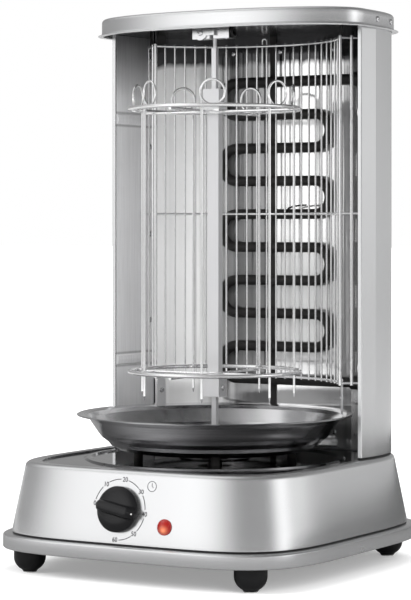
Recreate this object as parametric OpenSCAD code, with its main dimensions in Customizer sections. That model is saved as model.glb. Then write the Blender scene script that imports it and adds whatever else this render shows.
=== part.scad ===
// Upright electric skewer grill: a base with a timer, a drip tray, a motor-driven
// carousel of hanging skewers, and an open cabinet with a heater behind a wire guard.
// Millimetres, +Z up, front towards -Y, origin on the floor under the middle of the base.

/* [Base] */
// Width of the base over its rim
base_w = 340; // [330:1:370]
// Depth of the base over its rim
base_d = 352; // [340:1:380]
// Squareness of the base's outline, where 2 is an ellipse
base_power = 4.5; // [4:0.1:6]
// Height of the base's underside above the floor
base_z = 23; // [20:1:28]
// Height of the rim band
rim_h = 14; // [10:1:18]
// How far the rim stands out from the body
rim_out = 7; // [4:0.5:9]
// Height of the base's top face above the floor
top_z = 106; // [102:1:115]
// How far the body leans in from its foot to its top
body_lean = 11; // [6:0.5:14]
// Radius of the body's top edge
edge_r = 5; // [3:0.5:6]
// Wall of the body
wall = 2.5; // [2:0.1:3]
// Depth of the recess that the top plate lies in
recess_depth = 3; // [2:0.1:4]
// Width of the flat lip round that recess
lip_w = 9; // [8:0.5:12]
// Thickness of the polished top plate
plate_t = 1.2; // [0.8:0.1:1.6]
// Thickness of the bottom cover
cover_t = 1.5; // [1:0.1:2.5]

/* [Feet and screws] */
// Diameter of a foot
foot_dia = 31; // [24:1:34]
// Half the distance between the feet across the base
foot_x = 123; // [115:1:126]
// Half the distance between the feet from front to back
foot_y = 139; // [130:1:142]
// Radius of a small screw's head
head_r = 3; // [2.5:0.1:3.5]
// Height of a small screw's head
head_h = 1.6; // [1.2:0.1:2]

/* [Controls] */
// Diameter of the timer knob
knob_dia = 43; // [38:1:46]
// Height of the timer knob
knob_h = 15; // [12:1:18]
// Centre of the knob to the right of the middle
knob_x = -4; // [-20:1:10]
// Height of the knob's centre above the floor
knob_z = 70; // [66:1:72]
// Radius of the timer's shaft
timer_shaft_r = 3; // [2.5:0.1:3.5]
// Angle of the knob's pointer, anticlockwise from pointing right
knob_angle = -10.6; // [-100:0.1:170]
// Diameter of the lamp's lens
lamp_dia = 13.5; // [11:0.5:16]
// Centre of the lamp to the right of the middle
lamp_x = 46; // [40:1:60]
// Height of the lamp's centre above the floor
lamp_z = 57; // [54:1:64]
// Centre of the cord's gland at the back, to the right of the middle
gland_x = 40; // [20:1:60]
// Height of the gland's centre above the floor
gland_z = 56; // [50:1:64]
// How far the gland stands out of the back
gland_out = 12.93; // [6:0.05:16]

/* [Drip tray] */
// Diameter of the tray over its rim
tray_dia = 274; // [268:1:278]
// Height of the tray's rim above its floor
tray_h = 36; // [32:1:40]
// Diameter of the tray's flat floor
tray_floor_dia = 176; // [168:1:184]
// Height of the tray's floor above the top plate
tray_gap = 7.8; // [6:0.2:10]
// Thickness of the tray's sheet
tray_t = 0.8; // [0.6:0.1:1.2]

/* [Carousel] */
// Distance of the turning axis behind the middle of the base
axis_y = 4; // [0:0.5:6]
// Outer diameter of a skewer ring
ring_dia = 173.6; // [168:0.2:178]
// Height of the lower ring
ring_low_z = 190; // [186:1:196]
// Height of the upper ring
ring_high_z = 450; // [440:1:454]
// Thickness of a ring's rod
ring_rod = 4; // [3:0.2:5]
// Thickness of a ring's spokes
spoke_rod = 3; // [2.4:0.2:4]
// Side of the square spindle
spindle_side = 5; // [4:0.2:6]
// Width of the sleeve round the spindle
sleeve_w = 12.5; // [10:0.5:14]
// Depth of the sleeve round the spindle
sleeve_d = 8; // [7.4:0.2:9]
// Width of a hub block
hub_w = 18; // [16:0.5:20]
// Depth of a hub block
hub_d = 16; // [15:0.5:18]
// Height of a hub block
hub_h = 20; // [16:0.5:22]
// Radius of the pin at the spindle's top
pin_r = 2; // [1.6:0.1:2.3]

/* [Skewers] */
// Number of skewers that a ring has eyes for
skewer_count = 7; // [7:1:7]
// Angle of the first skewer about the turning axis
first_skewer_angle = -68.6; // [-80:0.1:-60]
// Thickness of a skewer's wire
skewer_wire = 2.4; // [2:0.1:2.6]
// Diameter of a skewer's finger loop, measured to the middle of its wire
loop_dia = 24; // [20:0.5:26]
// How far a skewer reaches below the lower ring
tip_drop = 26; // [18:1:30]
// Radius of the hole in an eye
eye_r = 2; // [1.9:0.05:2.2]
// Thickness of an eye's wire
eye_wire = 2.4; // [2:0.1:2.6]

/* [Cabinet] */
// Height of the top of the roof above the floor
total_h = 546; // [540:1:556]
// Height of the roof's side band
roof_h = 18; // [15:1:22]
// How far the roof stands out from the cabinet's wall
roof_out = 4; // [3:0.5:6]
// Width of the lip round the roof's lower edge
roof_lip = 4; // [3:0.5:5]
// How far the roof reaches in front of the turning axis
roof_front = 30; // [26:1:40]
// Thickness of the sheet of the roof and the wall
sheet_t = 1.5; // [1:0.1:2]
// Distance of the cabinet's front edges behind the turning axis
front_edge = 35; // [30:1:40]
// How far the cabinet's wall stands in from the base's flat top
cabinet_inset = 1.5; // [1:0.1:2]
// Width of the hem along the cabinet's front edges
hem_w = 3; // [2.5:0.1:5]
// How far the cabinet's front strips turn in towards their front edges
strip_turn = 1; // [0:0.5:2]
// Depth of those strips, up to their crease
strip_d = 26; // [12:1:30]
// Distance of the inner side sheets' back edges inside the cabinet's widest line
liner_inset = 8; // [7.5:0.5:10]
// How far those sheets lean out towards their front edges
liner_turn = 3.5; // [0:0.1:3.8]
// Gap between the reflector's flat back and the cabinet's wall
reflector_gap = 7.5; // [6:0.5:10]
// Thickness of the inner sheets
liner_t = 0.8; // [0.6:0.1:1]
// Distance of the ceiling sheet below the top of the roof
ceiling_drop = 14; // [12:0.5:16]

/* [Heater and guard] */
// Number of level runs of the heater
heater_runs = 10; // [6:2:12]
// Distance between two runs
run_pitch = 34.5; // [30:0.1:35]
// Height of the lowest run
first_run_z = 174; // [165:1:185]
// Radius of the heater's tube
heater_r = 5.2; // [4:0.1:5.4]
// Distance of the heater's sides inside the cabinet's widest line
heater_margin = 76.5; // [73:0.5:86]
// How far the heater stands to the left of the middle
heater_left = 5.5; // [0:0.5:6]
// Space between the heater's front and the guard's wires
guard_gap = 2.8; // [2.4:0.1:10]
// Half the angle that the guard's curve covers
guard_angle = 60.5; // [55:0.5:64]
// Distance between two upright wires
wire_pitch = 10.9; // [9:0.1:14]
// Thickness of an upright wire
wire_dia = 2; // [1.6:0.1:2.4]
// Height of the guard's bottom wire
guard_low_z = 178; // [172:1:190]
// Distance of the guard's top wire below the ceiling sheet
guard_top_gap = 11; // [9:1:22]

/* [Clearances] */
// Gap between pieces that lie beside each other
gap = 0.3; // [0.2:0.05:0.4]
// Radial gap of a turning fit
running = 0.08; // [0.05:0.01:0.1]
// Gap round the spindle in its square socket
socket_gap = 0.15; // [0.1:0.05:0.25]

/* [Hidden] */

round_fn = 48;
outline_points = 64;
// How deep joined solids of one piece reach into each other
bite = 0.01;

silver = [0.70, 0.71, 0.72];
polished = [0.86, 0.87, 0.88];
satin = [0.62, 0.63, 0.64];
zinc = [0.75, 0.76, 0.78];
black = [0.05, 0.05, 0.06];
dark = [0.12, 0.12, 0.13];

body_z = base_z + rim_h;
shoulder_z = top_z - edge_r;
lean_angle = atan(body_lean / (shoulder_z - body_z));
flat_inset = rim_out + body_lean + edge_r;
recess_inset = flat_inset + lip_w;
ledge_w = 6;
plate_z = top_z - recess_depth;
plate_top = plate_z + plate_t;
ledge_t = 2;
shelf_t = 2.5;

tray_z = plate_top + tray_gap;
tray_r = tray_dia / 2;
tray_floor_r = tray_floor_dia / 2;
collar_h = 25;
collar_r = 9;
rest_circle_r = 76;

cabinet_x = base_w / 2 - flat_inset - cabinet_inset;
cabinet_front = axis_y + front_edge;
cabinet_back = base_d / 2 - flat_inset - cabinet_inset - cabinet_front;
gland_r = 6;
cabinet_power = 4;
roof_front_power = 3;
roof_z = total_h - roof_h;
roof_top_in = total_h - sheet_t;
ceiling_z = total_h - ceiling_drop;
liner_x = cabinet_x - liner_inset;
hem_x = cabinet_x - strip_turn - hem_w;
reflector_y = cabinet_front + cabinet_back - reflector_gap;
liner_back = reflector_y - 37;
reflector_half = 80;
liner_h = ceiling_z - top_z;
liner_bead_z = [top_z + liner_h * 0.21, top_z + liner_h * 0.796];
liner_screw_z = [for (share = [0.303, 0.516, 0.732, 0.948]) top_z + liner_h * share];

ring_r = ring_dia / 2 - ring_rod / 2;
skewer_r = ring_r - ring_rod / 2 - eye_r - eye_wire + 0.4;
loop_r = loop_dia / 2;
loop_offset = 0.876 * loop_r;
eye_mid_r = eye_r + eye_wire / 2;
loop_clear = eye_wire / 2 + skewer_wire / 2 + gap;
loop_z = ring_high_z + sqrt(pow(loop_r + loop_clear, 2) - pow(loop_offset - eye_mid_r, 2));
loop_join_z = loop_z - sqrt(pow(loop_r, 2) - pow(loop_offset, 2));
spoke_drop = ring_rod / 2 + spoke_rod / 2 - 1;
plate_h = spoke_rod + 1.5;
point_h = 4;
tip_z = ring_low_z - tip_drop;
spindle_low = 124;
socket_low = plate_z - 3;
socket_high = tray_z + collar_h;
socket_r = 7;
stub_r = 3.5;
stub_low = plate_z - 15;
bar_low = ceiling_z - 12.5;
pin_top = ceiling_z - 2;
shoulder_pin_z = bar_low - 9;
bar_mid_z = (bar_low + ceiling_z) / 2;
bar_left = 22;
bar_right = 20;
bar_half = 7;
latch_x = -12;
latch_t = 1.6;
latch_r = 2;
hub_low_z = ring_low_z - spoke_drop - plate_h / 2 - hub_h;
hub_high_z = ring_high_z - spoke_drop + plate_h / 2;
heater_y = reflector_y - liner_t - 1.3 - 0.2 - heater_r - 0.5;
last_run_z = first_run_z + run_pitch * (heater_runs - 1);
heater_half_w = cabinet_x - heater_margin;
guard_r = heater_y - heater_r - guard_gap - axis_y;
guard_high_z = ceiling_z - guard_top_gap;
insulator_x = heater_half_w + 21;
insulator_r = 7;
cross_wire_r = 1.3;
wing_end_x = liner_x - 4;
wing_end_y = liner_back - 17;

// One superellipse with its own depths behind and in front of its widest line.
function blend_outline(half_w, mid_y, back, back_power, front, front_power) = [
    for (i = [0:outline_points - 1])
        let (a = 360 * i / outline_points, c = cos(a), s = sin(a),
             power = s > 0 ? back_power : front_power)
        [half_w * sign(c) * pow(abs(c), 2 / power),
         mid_y + (s > 0 ? back : front) * sign(s) * pow(abs(s), 2 / power)]
];
function base_outline(inset) =
    blend_outline(base_w / 2 - inset, 0, base_d / 2 - inset, base_power,
                  base_d / 2 - inset, base_power);
// The cabinet's plan, open at its front: two flat strips that meet its curve at a crease.
function cabinet_path(out) = [
    [cabinet_x - strip_turn + out, cabinet_front],
    [cabinet_x + out, cabinet_front + strip_d],
    for (i = [1:outline_points / 2 - 1])
        blend_outline(cabinet_x + out, cabinet_front, cabinet_back + out, cabinet_power,
                      1, cabinet_power)[i],
    [-cabinet_x - out, cabinet_front + strip_d],
    [strip_turn - cabinet_x - out, cabinet_front]
];
function roof_outline(out) =
    blend_outline(cabinet_x + roof_out + out, cabinet_front,
                  cabinet_back + roof_out + out, cabinet_power,
                  front_edge + roof_front + out, roof_front_power);
// How far the body's face stands from the middle, at a place across it and a lean.
function face_y(x, lean) =
    (base_d / 2 - rim_out - lean)
    * pow(1 - pow(abs(x) / (base_w / 2 - rim_out - lean), base_power), 1 / base_power);

// The points of a line, and those of the same line moved to its left.
function left_of(v) = [-v[1], v[0]] / norm(v);
function line_normal(p, i) = left_of(p[min(i + 1, len(p) - 1)] - p[max(i - 1, 0)]);
function thick_line(p, t) =
    concat(p, [for (i = [len(p) - 1:-1:0]) p[i] + t * line_normal(p, i)]);

// A closed solid through outlines of equally many points, each given as [height, points].
module loft(rings) {
    n = len(rings[0][1]);
    last = len(rings) - 1;
    corners = [for (ring = rings) for (p = ring[1]) [p[0], p[1], ring[0]]];
    sides = [
        for (j = [0:last - 1], i = [0:n - 1])
            let (a = j * n + i, b = j * n + (i + 1) % n)
            each [[a, a + n, b + n], [a, b + n, b]]
    ];
    polyhedron(corners, concat([[for (i = [0:n - 1]) i]], sides,
                               [[for (i = [n - 1:-1:0]) last * n + i]]));
}

module plate(points, z, t) {
    translate([0, 0, z]) linear_extrude(t) polygon(points);
}

module rod(r, h) {
    cylinder(r = r, h = h, $fn = round_fn);
}

module on_axis() {
    translate([0, axis_y, 0]) children();
}

// Puts its children on the leaning front, with their +Z out of it and +Y up along it.
module on_front(x, z) {
    lean = body_lean * (z - body_z) / (shoulder_z - body_z);
    translate([x, -face_y(x, lean), z])
        rotate([90 - lean_angle, 0, 0]) children();
}

module on_back(x, z) {
    lean = body_lean * (z - body_z) / (shoulder_z - body_z);
    translate([x, face_y(x, lean), z])
        rotate([lean_angle - 90, 0, 0]) children();
}

module at_cover_screws() {
    for (x = [-1, 1], y = [-1, 1])
        translate([x * base_w * 0.22, y * (base_d / 2 - rim_out - wall - 4), 0]) children();
}

// A round screw head with its shank, standing on the plane z = 0.
module screw(shank_r, shank_h) {
    rotate_extrude($fn = 32)
        polygon([[0, 0], [head_r, 0], [head_r, head_h * 0.4], [head_r * 0.6, head_h],
                 [0, head_h]]);
    translate([0, 0, -shank_h]) rod(shank_r, shank_h + bite);
}

module base_body() {
    loft(concat([[body_z - 1, base_outline(rim_out)]],
                [for (k = [0:3])
                    [shoulder_z + edge_r * sin(30 * k),
                     base_outline(rim_out + body_lean + edge_r * (1 - cos(30 * k)))]]));
}

// The hollow's foot lies a little below the shelf over the rim, along the same slope.
module base_cavity() {
    low = body_z - shelf_t - 0.5;
    slope = body_lean / (shoulder_z - body_z);
    high = plate_z - ledge_t;
    loft([[low, base_outline(rim_out + wall + slope * (low - body_z))],
          [high - 3, base_outline(rim_out + wall + slope * (high - 3 - body_z))],
          [high, base_outline(rim_out + wall + 2 + slope * (high - body_z))]]);
}

module base_rim() {
    loft([[base_z, base_outline(0.8)],
          [base_z + 1.2, base_outline(0)],
          [body_z - 2.6, base_outline(0)],
          [body_z - 0.8, base_outline(0.8)],
          [body_z, base_outline(2.6)]]);
}

module base_shell() {
    color(silver) {
        difference() {
            union() {
                base_rim();
                base_body();
            }
            plate(base_outline(wall), base_z - 1, rim_h - shelf_t + 1);
            base_cavity();
            plate(base_outline(recess_inset), plate_z, recess_depth + 1);
            plate(base_outline(recess_inset + ledge_w), plate_z - ledge_t - 1, ledge_t + 2);
            on_front(knob_x, knob_z) translate([0, 0, -10]) rod(timer_shaft_r + 1.3, 20);
            on_front(lamp_x, lamp_z) translate([0, 0, -10]) rod(lamp_dia / 2 - 1.6, 20);
            on_back(gland_x, gland_z) translate([0, 0, -10]) rod(gland_r + gap, 20);
        }
        difference() {
            at_cover_screws() translate([0, 0, base_z + cover_t + gap]) rod(5.5, 22);
            at_cover_screws() translate([0, 0, base_z]) rod(1.5, 18);
        }
    }
}

module bottom_cover() {
    color(dark) difference() {
        plate(base_outline(wall + gap), base_z, cover_t);
        at_cover_screws() translate([0, 0, base_z - 1]) rod(1.8, cover_t + 2);
        for (k = [-3:3]) translate([-base_w * 0.12, k * base_d * 0.057 - 2, base_z - 1])
            cube([base_w * 0.24, 4, cover_t + 2]);
    }
}

module feet() {
    foot_r = foot_dia / 2;
    color(black) for (x = [-foot_x, foot_x], y = [-foot_y, foot_y])
        translate([x, y, 0]) rotate_extrude($fn = round_fn)
            polygon(concat([[0, 0], [foot_r * 0.42, 0]],
                           [for (a = [-60:12:0])
                               [foot_r * cos(a), foot_r * 0.9 * (1 + sin(a))]],
                           [[foot_r, base_z], [0, base_z]]));
}

module cover_screws() {
    color(zinc) at_cover_screws() translate([0, 0, base_z]) mirror([0, 0, 1])
        screw(1.4, cover_t + 14);
}

module top_plate() {
    bead_r = 125;
    color(polished) difference() {
        union() {
            plate(base_outline(recess_inset + gap), plate_z, plate_t);
            on_axis() translate([0, 0, plate_top - 0.2]) rotate_extrude($fn = 96)
                polygon([[bead_r - 5, 0], [bead_r + 5, 0], [bead_r + 2, 1.8],
                         [bead_r - 2, 1.8]]);
            on_axis() translate([0, 0, plate_top - 0.2]) rotate_extrude($fn = 96)
                polygon([[30, 0], [36, 0], [34.5, 1.2], [31.5, 1.2]]);
        }
        on_axis() translate([0, 0, plate_z - 1]) rod(socket_r + 4 + gap, 5);
    }
}

module tray_rests() {
    color(zinc) on_axis() for (k = [0:3]) rotate(31 + 90 * k)
        translate([rest_circle_r, 0, plate_top]) rod(4.5, tray_gap);
}

module drip_tray() {
    floor_r = tray_floor_r;
    rim_z = tray_h;
    side = tray_r - floor_r;
    underside = [
        [collar_r, collar_h], [collar_r + 0.5, 8], [collar_r + 4, 2], [collar_r + 9, 0],
        [40, 0], [42, 1.2], [62, 1.2], [64, 0], [floor_r - 2, 0], [floor_r + side * 0.15, 2],
        [floor_r + side * 0.31, rim_z * 0.17], [floor_r + side * 0.37, rim_z * 0.27],
        [floor_r + side * 0.5, rim_z * 0.4], [floor_r + side * 0.56, rim_z * 0.5],
        [floor_r + side * 0.67, rim_z * 0.72], [floor_r + side * 0.74, rim_z * 0.86],
        [floor_r + side * 0.8, rim_z * 0.95], [floor_r + side * 0.87, rim_z * 0.98],
        [tray_r - 1.2, rim_z], [tray_r - 0.2, rim_z - 0.6]
    ];
    color(polished) on_axis() translate([0, 0, tray_z]) rotate_extrude($fn = 128)
        polygon(thick_line(underside, tray_t));
}

module bearing_bush() {
    inner = socket_r + running;
    color(dark) on_axis() difference() {
        union() {
            translate([0, 0, plate_z - 6]) rod(socket_r + 4, 6 + plate_t + bite);
            translate([0, 0, plate_top]) rod(socket_r + 6, 1.5);
        }
        translate([0, 0, plate_z - 7]) rod(inner, 14);
    }
}

module drive_motor() {
    motor_top = plate_z - 11;
    color(zinc) on_axis() difference() {
        union() {
            translate([0, 0, motor_top - 22]) rod(25, 22);
            translate([0, 0, motor_top - bite]) rod(8, 3);
        }
        translate([0, 0, stub_low - gap]) rod(stub_r + running, 30);
    }
}

module motor_bracket() {
    motor_top = plate_z - 11;
    color(satin) on_axis() difference() {
        union() {
            translate([-45, -11, motor_top]) cube([90, 22, 1.5]);
            for (x = [-45, 43.5])
                translate([x, -11, motor_top]) cube([1.5, 22, plate_z - motor_top]);
        }
        translate([0, 0, motor_top - 1]) rod(8 + gap, 4);
    }
}

module timer_body() {
    color(satin) on_front(knob_x, knob_z) difference() {
        union() {
            translate([-21, -21, -wall - gap - 24]) cube([42, 42, 24]);
            translate([0, 0, -wall - gap - bite]) rod(timer_shaft_r + 0.8, 2);
        }
        translate([0, 0, -wall - gap - 18]) rod(timer_shaft_r + running, 24);
    }
}

module timer_shaft() {
    color(zinc) on_front(knob_x, knob_z)
        translate([0, 0, -wall - gap - 17]) rod(timer_shaft_r, wall + gap + 17 + 9);
}

// The knob is drawn with its pointer along +X and turned to where it points.
module timer_knob() {
    r = knob_dia / 2;
    color(black) on_front(knob_x, knob_z) rotate(knob_angle) difference() {
        union() {
            rotate_extrude($fn = 64)
                polygon([[0, 0.6], [r - 0.4, 0.6], [r, 1], [r, 5], [r - 1, 7], [r - 3.2, 8],
                         [0, 8.4]]);
            intersection() {
                hull() for (x = [-r + 6.5, r - 4])
                    translate([x, 0, 4]) cylinder(r1 = 5.4, r2 = 4.2, h = knob_h - 4, $fn = 32);
                cylinder(r1 = r + 6, r2 = r - 4, h = knob_h, $fn = 64);
            }
        }
        translate([0, 0, -1]) rod(timer_shaft_r + 0.03, 10.2);
    }
}

module lamp_holder() {
    color(black) on_front(lamp_x, lamp_z) difference() {
        union() {
            translate([0, 0, -22]) rod(lamp_dia / 2 - 1.9, 22);
            translate([0, 0, -wall - gap - 4]) rod(lamp_dia / 2 + 1.5, 4);
        }
        translate([0, 0, -20]) rod(lamp_dia / 2 - 3.2, 21);
    }
}

module lamp_lens() {
    r = lamp_dia / 2;
    color([0.75, 0.05, 0.04, 0.8]) on_front(lamp_x, lamp_z) {
        translate([0, 0, 0.1]) rod(r, 1.5);
        translate([0, 0, 1.6 - bite]) rotate_extrude($fn = 10)
            polygon([[0, 0], [r * 0.9, 0], [r * 0.82, 2.6], [r * 0.45, 4.6], [0, 5]]);
    }
}

module terminal_block() {
    color([0.9, 0.9, 0.88]) translate([60, 90, base_z + cover_t]) difference() {
        cube([36, 18, 14]);
        for (x = [6:8:30]) translate([x, 9, 6]) rod(2, 10);
    }
}

module cord_gland() {
    color(black) on_back(gland_x, gland_z) difference() {
        union() {
            translate([0, 0, -wall - 4]) rod(gland_r, wall + 4 + bite);
            cylinder(r1 = gland_r + 3, r2 = gland_r + 1.5, h = 3, $fn = round_fn);
            rod(gland_r - 0.5, gland_out);
            translate([0, 0, -wall - 5]) rod(gland_r + 1.5, 5 - gap);
        }
        translate([0, 0, -20]) rod(3.5, 40);
    }
}

module cabinet_ring(out, t, low, high) {
    translate([0, 0, low]) linear_extrude(high - low) difference() {
        polygon(cabinet_path(out));
        translate([0, -bite]) polygon(cabinet_path(out - t));
    }
}

module cabinet_wall() {
    color(silver) {
        cabinet_ring(0, sheet_t, top_z, roof_top_in);
        for (side = [-1, 1])
            translate([side > 0 ? hem_x : -hem_x - hem_w, cabinet_front, top_z])
                cube([hem_w, sheet_t, roof_z - top_z - gap]);
    }
}

// The left liner, seen from inside; the right one is its mirror image.
module liner() {
    reach = liner_back - cabinet_front - sheet_t - 0.3;
    color(satin) translate([-liner_x, liner_back, 0]) rotate(-liner_turn) {
        translate([0, -reach, top_z]) cube([liner_t, reach, liner_h]);
        for (z = liner_bead_z)
            translate([liner_t - 0.4, -reach + 1, z]) rotate([-90, 0, 0])
                linear_extrude(reach - 13)
                    polygon([[0, -6], [1.6, -4], [2.1, 0], [1.6, 4], [0, 6]]);
    }
}

module left_liner() {
    difference() {
        liner();
        at_liner_screws(-1) translate([0, 0, -6]) rod(1.6, 10);
    }
}

module right_liner() {
    difference() {
        mirror([1, 0, 0]) liner();
        at_liner_screws(1) translate([0, 0, -6]) rod(1.6, 10);
    }
}

module at_liner_screws(side) {
    for (z = liner_screw_z)
        translate([side * liner_x, liner_back, 0]) rotate(side * liner_turn)
            translate([-side * liner_t, -6, z]) rotate([0, -side * 90, 0]) children();
}

module liner_screws() {
    color(zinc) for (side = [-1, 1]) at_liner_screws(side) screw(1.4, 2.6);
}

// The plan of the reflector, from its left end to its right one.
function wing(side) = [
    for (k = [0:5])
        let (end_x = liner_x - liner_t - gap - 1, rise = reflector_y - liner_back - gap)
        [side * (end_x + (reflector_half - end_x) * k / 5),
         liner_back + gap + rise * pow(k / 5, 0.85)]
];

module reflector() {
    right_wing = wing(1);
    left_wing = wing(-1);
    path = concat(right_wing, [for (i = [5:-1:0]) left_wing[i]]);
    color(polished) difference() {
        translate([0, 0, top_z]) linear_extrude(ceiling_z - top_z)
            polygon(thick_line(path, liner_t));
        for (z = [first_run_z, last_run_z])
            translate([reflector_half - 1, heater_y, z]) rotate([0, 90, 0])
                rod(insulator_r + gap, 40);
    }
}

module ceiling_sheet() {
    half = liner_x - liner_t - gap;
    low = axis_y - 6;
    color(satin) difference() {
        plate(concat([[-half, liner_back], [-half, low + 12], [-half + 18, low],
                      [half - 18, low], [half, low + 12], [half, liner_back]],
                     [for (i = [1:5]) wing(1)[i]], [for (i = [5:-1:1]) wing(-1)[i]]),
              ceiling_z, liner_t);
        for (x = [-90, 90]) translate([x, axis_y + 20, ceiling_z - 1]) rod(2, 4);
    }
}

module roof() {
    color(silver) difference() {
        union() {
            loft([[roof_z + 0.4, roof_outline(0)],
                  [total_h - 4, roof_outline(0)],
                  [total_h - 1.2, roof_outline(-1.2)],
                  [total_h, roof_outline(-4)]]);
            loft([[roof_z, roof_outline(roof_lip - 0.6)],
                  [roof_z + 0.8, roof_outline(roof_lip)],
                  [roof_z + 2.4, roof_outline(-0.7)]]);
        }
        loft([[roof_z - 1, roof_outline(-sheet_t)],
              [total_h - 4, roof_outline(-sheet_t)],
              [roof_top_in, roof_outline(-3.4)]]);
        at_roof_screws() translate([0, 0, -8]) rod(1.6, 12);
    }
}

// Points on the sides of the roof's band, with +Z out of it along its curve.
module at_roof_screws() {
    half = cabinet_x + roof_out;
    back = cabinet_back + roof_out;
    for (side = [-1, 1], along = [26, 60]) {
        left = 1 - pow(along / back, cabinet_power);
        turn = atan(half / back * pow(along / back, cabinet_power - 1)
                    * pow(left, 1 / cabinet_power - 1));
        translate([side * (half * pow(left, 1 / cabinet_power) + 0.1),
                   cabinet_front + along, roof_z + roof_h / 2])
            rotate(side * turn) rotate([0, side * 90, 0]) children();
    }
}

module roof_screws() {
    color(zinc) at_roof_screws() screw(1.3, 3.4);
}

module bearing_bar() {
    color(polished) on_axis() difference() {
        translate([-bar_left, -bar_half, bar_low])
            cube([bar_left + bar_right, 2 * bar_half, ceiling_z - bar_low]);
        translate([0, 0, bar_low - 1]) rod(pin_r + running, ceiling_z - bar_low + 2);
        translate([-pin_r - running, -bar_half - 1, bar_low - 1])
            cube([2 * (pin_r + running), bar_half + 1, ceiling_z - bar_low + 2]);
        translate([latch_x, 0, bar_mid_z]) rotate([90, 0, 0]) rod(latch_r, 20);
        translate([-bar_left - 1, -4, bar_low - 1]) cube([10, 8, 7]);
    }
}

module latch_screw() {
    color(zinc) on_axis() translate([latch_x, -bar_half - gap - latch_t - gap, bar_mid_z])
        rotate([90, 0, 0]) {
            rod(3.2, 1.2);
            translate([0, 0, -6]) rod(latch_r - 0.04, 6 + bite);
        }
}

// A half-round keeper that closes the pin's slot and swings up to free the carousel.
module shaft_latch() {
    color(polished) on_axis() translate([latch_x, -bar_half - gap, bar_mid_z])
        rotate([90, 0, 0]) difference() {
            union() {
                intersection() {
                    rod(7.5, latch_t);
                    translate([-7.5, -7.5, -1]) cube([15, 10.5, latch_t + 2]);
                }
                translate([0, -3, 0]) cube([17, 6, latch_t]);
                translate([15, -3, 0]) cube([2, 6, 3.4]);
            }
            translate([0, 0, -1]) rod(latch_r + 0.02, latch_t + 2);
        }
}

module heater_tube() {
    bend_r = run_pitch / 2;
    bend_x = heater_half_w - heater_r - bend_r;
    color(dark) translate([-heater_left, heater_y, first_run_z]) {
        for (k = [0:heater_runs - 1]) translate([-bend_x, 0, k * run_pitch]) rotate([0, 90, 0])
            rod(heater_r, 2 * bend_x);
        for (k = [0:heater_runs - 2]) {
            side = k % 2 == 0 ? -1 : 1;
            translate([side * bend_x, 0, (k + 0.5) * run_pitch]) rotate([90, 0, 0])
                rotate(-side * 90) rotate_extrude(angle = 180, $fn = round_fn)
                    translate([bend_r, 0]) circle(r = heater_r, $fn = round_fn);
        }
        for (z = [0, last_run_z - first_run_z]) translate([bend_x, 0, z])
            rotate([0, 90, 0]) rod(heater_r, heater_left + insulator_x + 2 - bend_x);
    }
}

module heater_insulators() {
    color([0.9, 0.88, 0.84]) for (z = [first_run_z, last_run_z])
        translate([insulator_x - 6, heater_y, z]) rotate([0, 90, 0]) difference() {
            rod(insulator_r, 12);
            translate([0, 0, -1]) rod(heater_r + 0.05, 9);
        }
}

module heater_strip() {
    strip_t = 1.3;
    color(dark) translate([-heater_left - 9.5, reflector_y - liner_t - strip_t - 0.1, plate_top])
        cube([7, strip_t, ceiling_z - plate_top]);
}

// A straight wire between two points.
module wire(a, b, r) {
    d = b - a;
    translate(a) rotate([0, acos(d[2] / norm(d)), atan2(d[1], d[0])])
        cylinder(r = r, h = norm(d), $fn = 32);
}

module guard_arc(z) {
    end = [guard_r * sin(guard_angle), axis_y + guard_r * cos(guard_angle), z];
    on_axis() translate([0, 0, z]) rotate(90 - guard_angle)
        rotate_extrude(angle = 2 * guard_angle, $fn = 96)
            translate([guard_r, 0]) circle(r = cross_wire_r, $fn = 32);
    for (side = [-1, 1]) {
        bend = [side * end[0], end[1], z];
        wire(bend, [side * wing_end_x, wing_end_y, z], cross_wire_r);
        translate(bend) sphere(r = cross_wire_r + 0.3, $fn = 32);
    }
}

module wire_guard() {
    wire_r = wire_dia / 2;
    gaps = round(guard_r * guard_angle * PI / 90 / wire_pitch);
    height = guard_high_z - guard_low_z + 4;
    color(polished) {
        for (z = [guard_low_z, (guard_low_z + guard_high_z) / 2 - 3, guard_high_z]) guard_arc(z);
        on_axis() for (k = [1:gaps - 1]) rotate(90 - guard_angle + 2 * guard_angle * k / gaps)
            translate([guard_r, 0, guard_low_z - 2]) cylinder(r = wire_r, h = height, $fn = 32);
        for (side = [-1, 1], t = [0.12, 0.48, 0.84]) {
            start = [guard_r * sin(guard_angle), axis_y + guard_r * cos(guard_angle)];
            place = start * (1 - t) + [wing_end_x, wing_end_y] * t;
            translate([side * place[0], place[1], guard_low_z - 2])
                cylinder(r = wire_r, h = height, $fn = 32);
        }
    }
}

// A strip that stands behind the guard's ends, from one height to another.
module guard_strip(side, low, high) {
    r = guard_r + cross_wire_r + 0.1;
    on_axis() rotate(90 - side * (guard_angle - 3.5)) translate([r, -4.5, low])
        cube([1.5, 9, high - low]);
}

// The posts stand on the step inside the tray's rim.
module guard_posts() {
    color(satin) for (side = [-1, 1])
        guard_strip(side, tray_z + tray_h * 0.95 + tray_t + 0.15, guard_low_z + 4);
}

module guard_hangers() {
    color(satin) for (side = [-1, 1]) guard_strip(side, guard_high_z - 5, ceiling_z);
}

module drive_socket() {
    side = spindle_side + 2 * socket_gap;
    color(black) on_axis() difference() {
        union() {
            translate([0, 0, socket_low]) rod(socket_r, socket_high - socket_low);
            translate([0, 0, stub_low]) rod(stub_r, socket_low - stub_low + bite);
        }
        translate([-side / 2, -side / 2, spindle_low]) cube([side, side, 40]);
    }
}

module spindle() {
    color(zinc) on_axis() {
        translate([-spindle_side / 2, -spindle_side / 2, spindle_low])
            cube([spindle_side, spindle_side, shoulder_pin_z - spindle_low]);
        translate([0, 0, shoulder_pin_z - bite]) rod(pin_r, pin_top - shoulder_pin_z);
    }
}

module square_bore(z, h) {
    side = spindle_side + 0.04;
    translate([-side / 2, -side / 2, z]) cube([side, side, h]);
}

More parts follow.
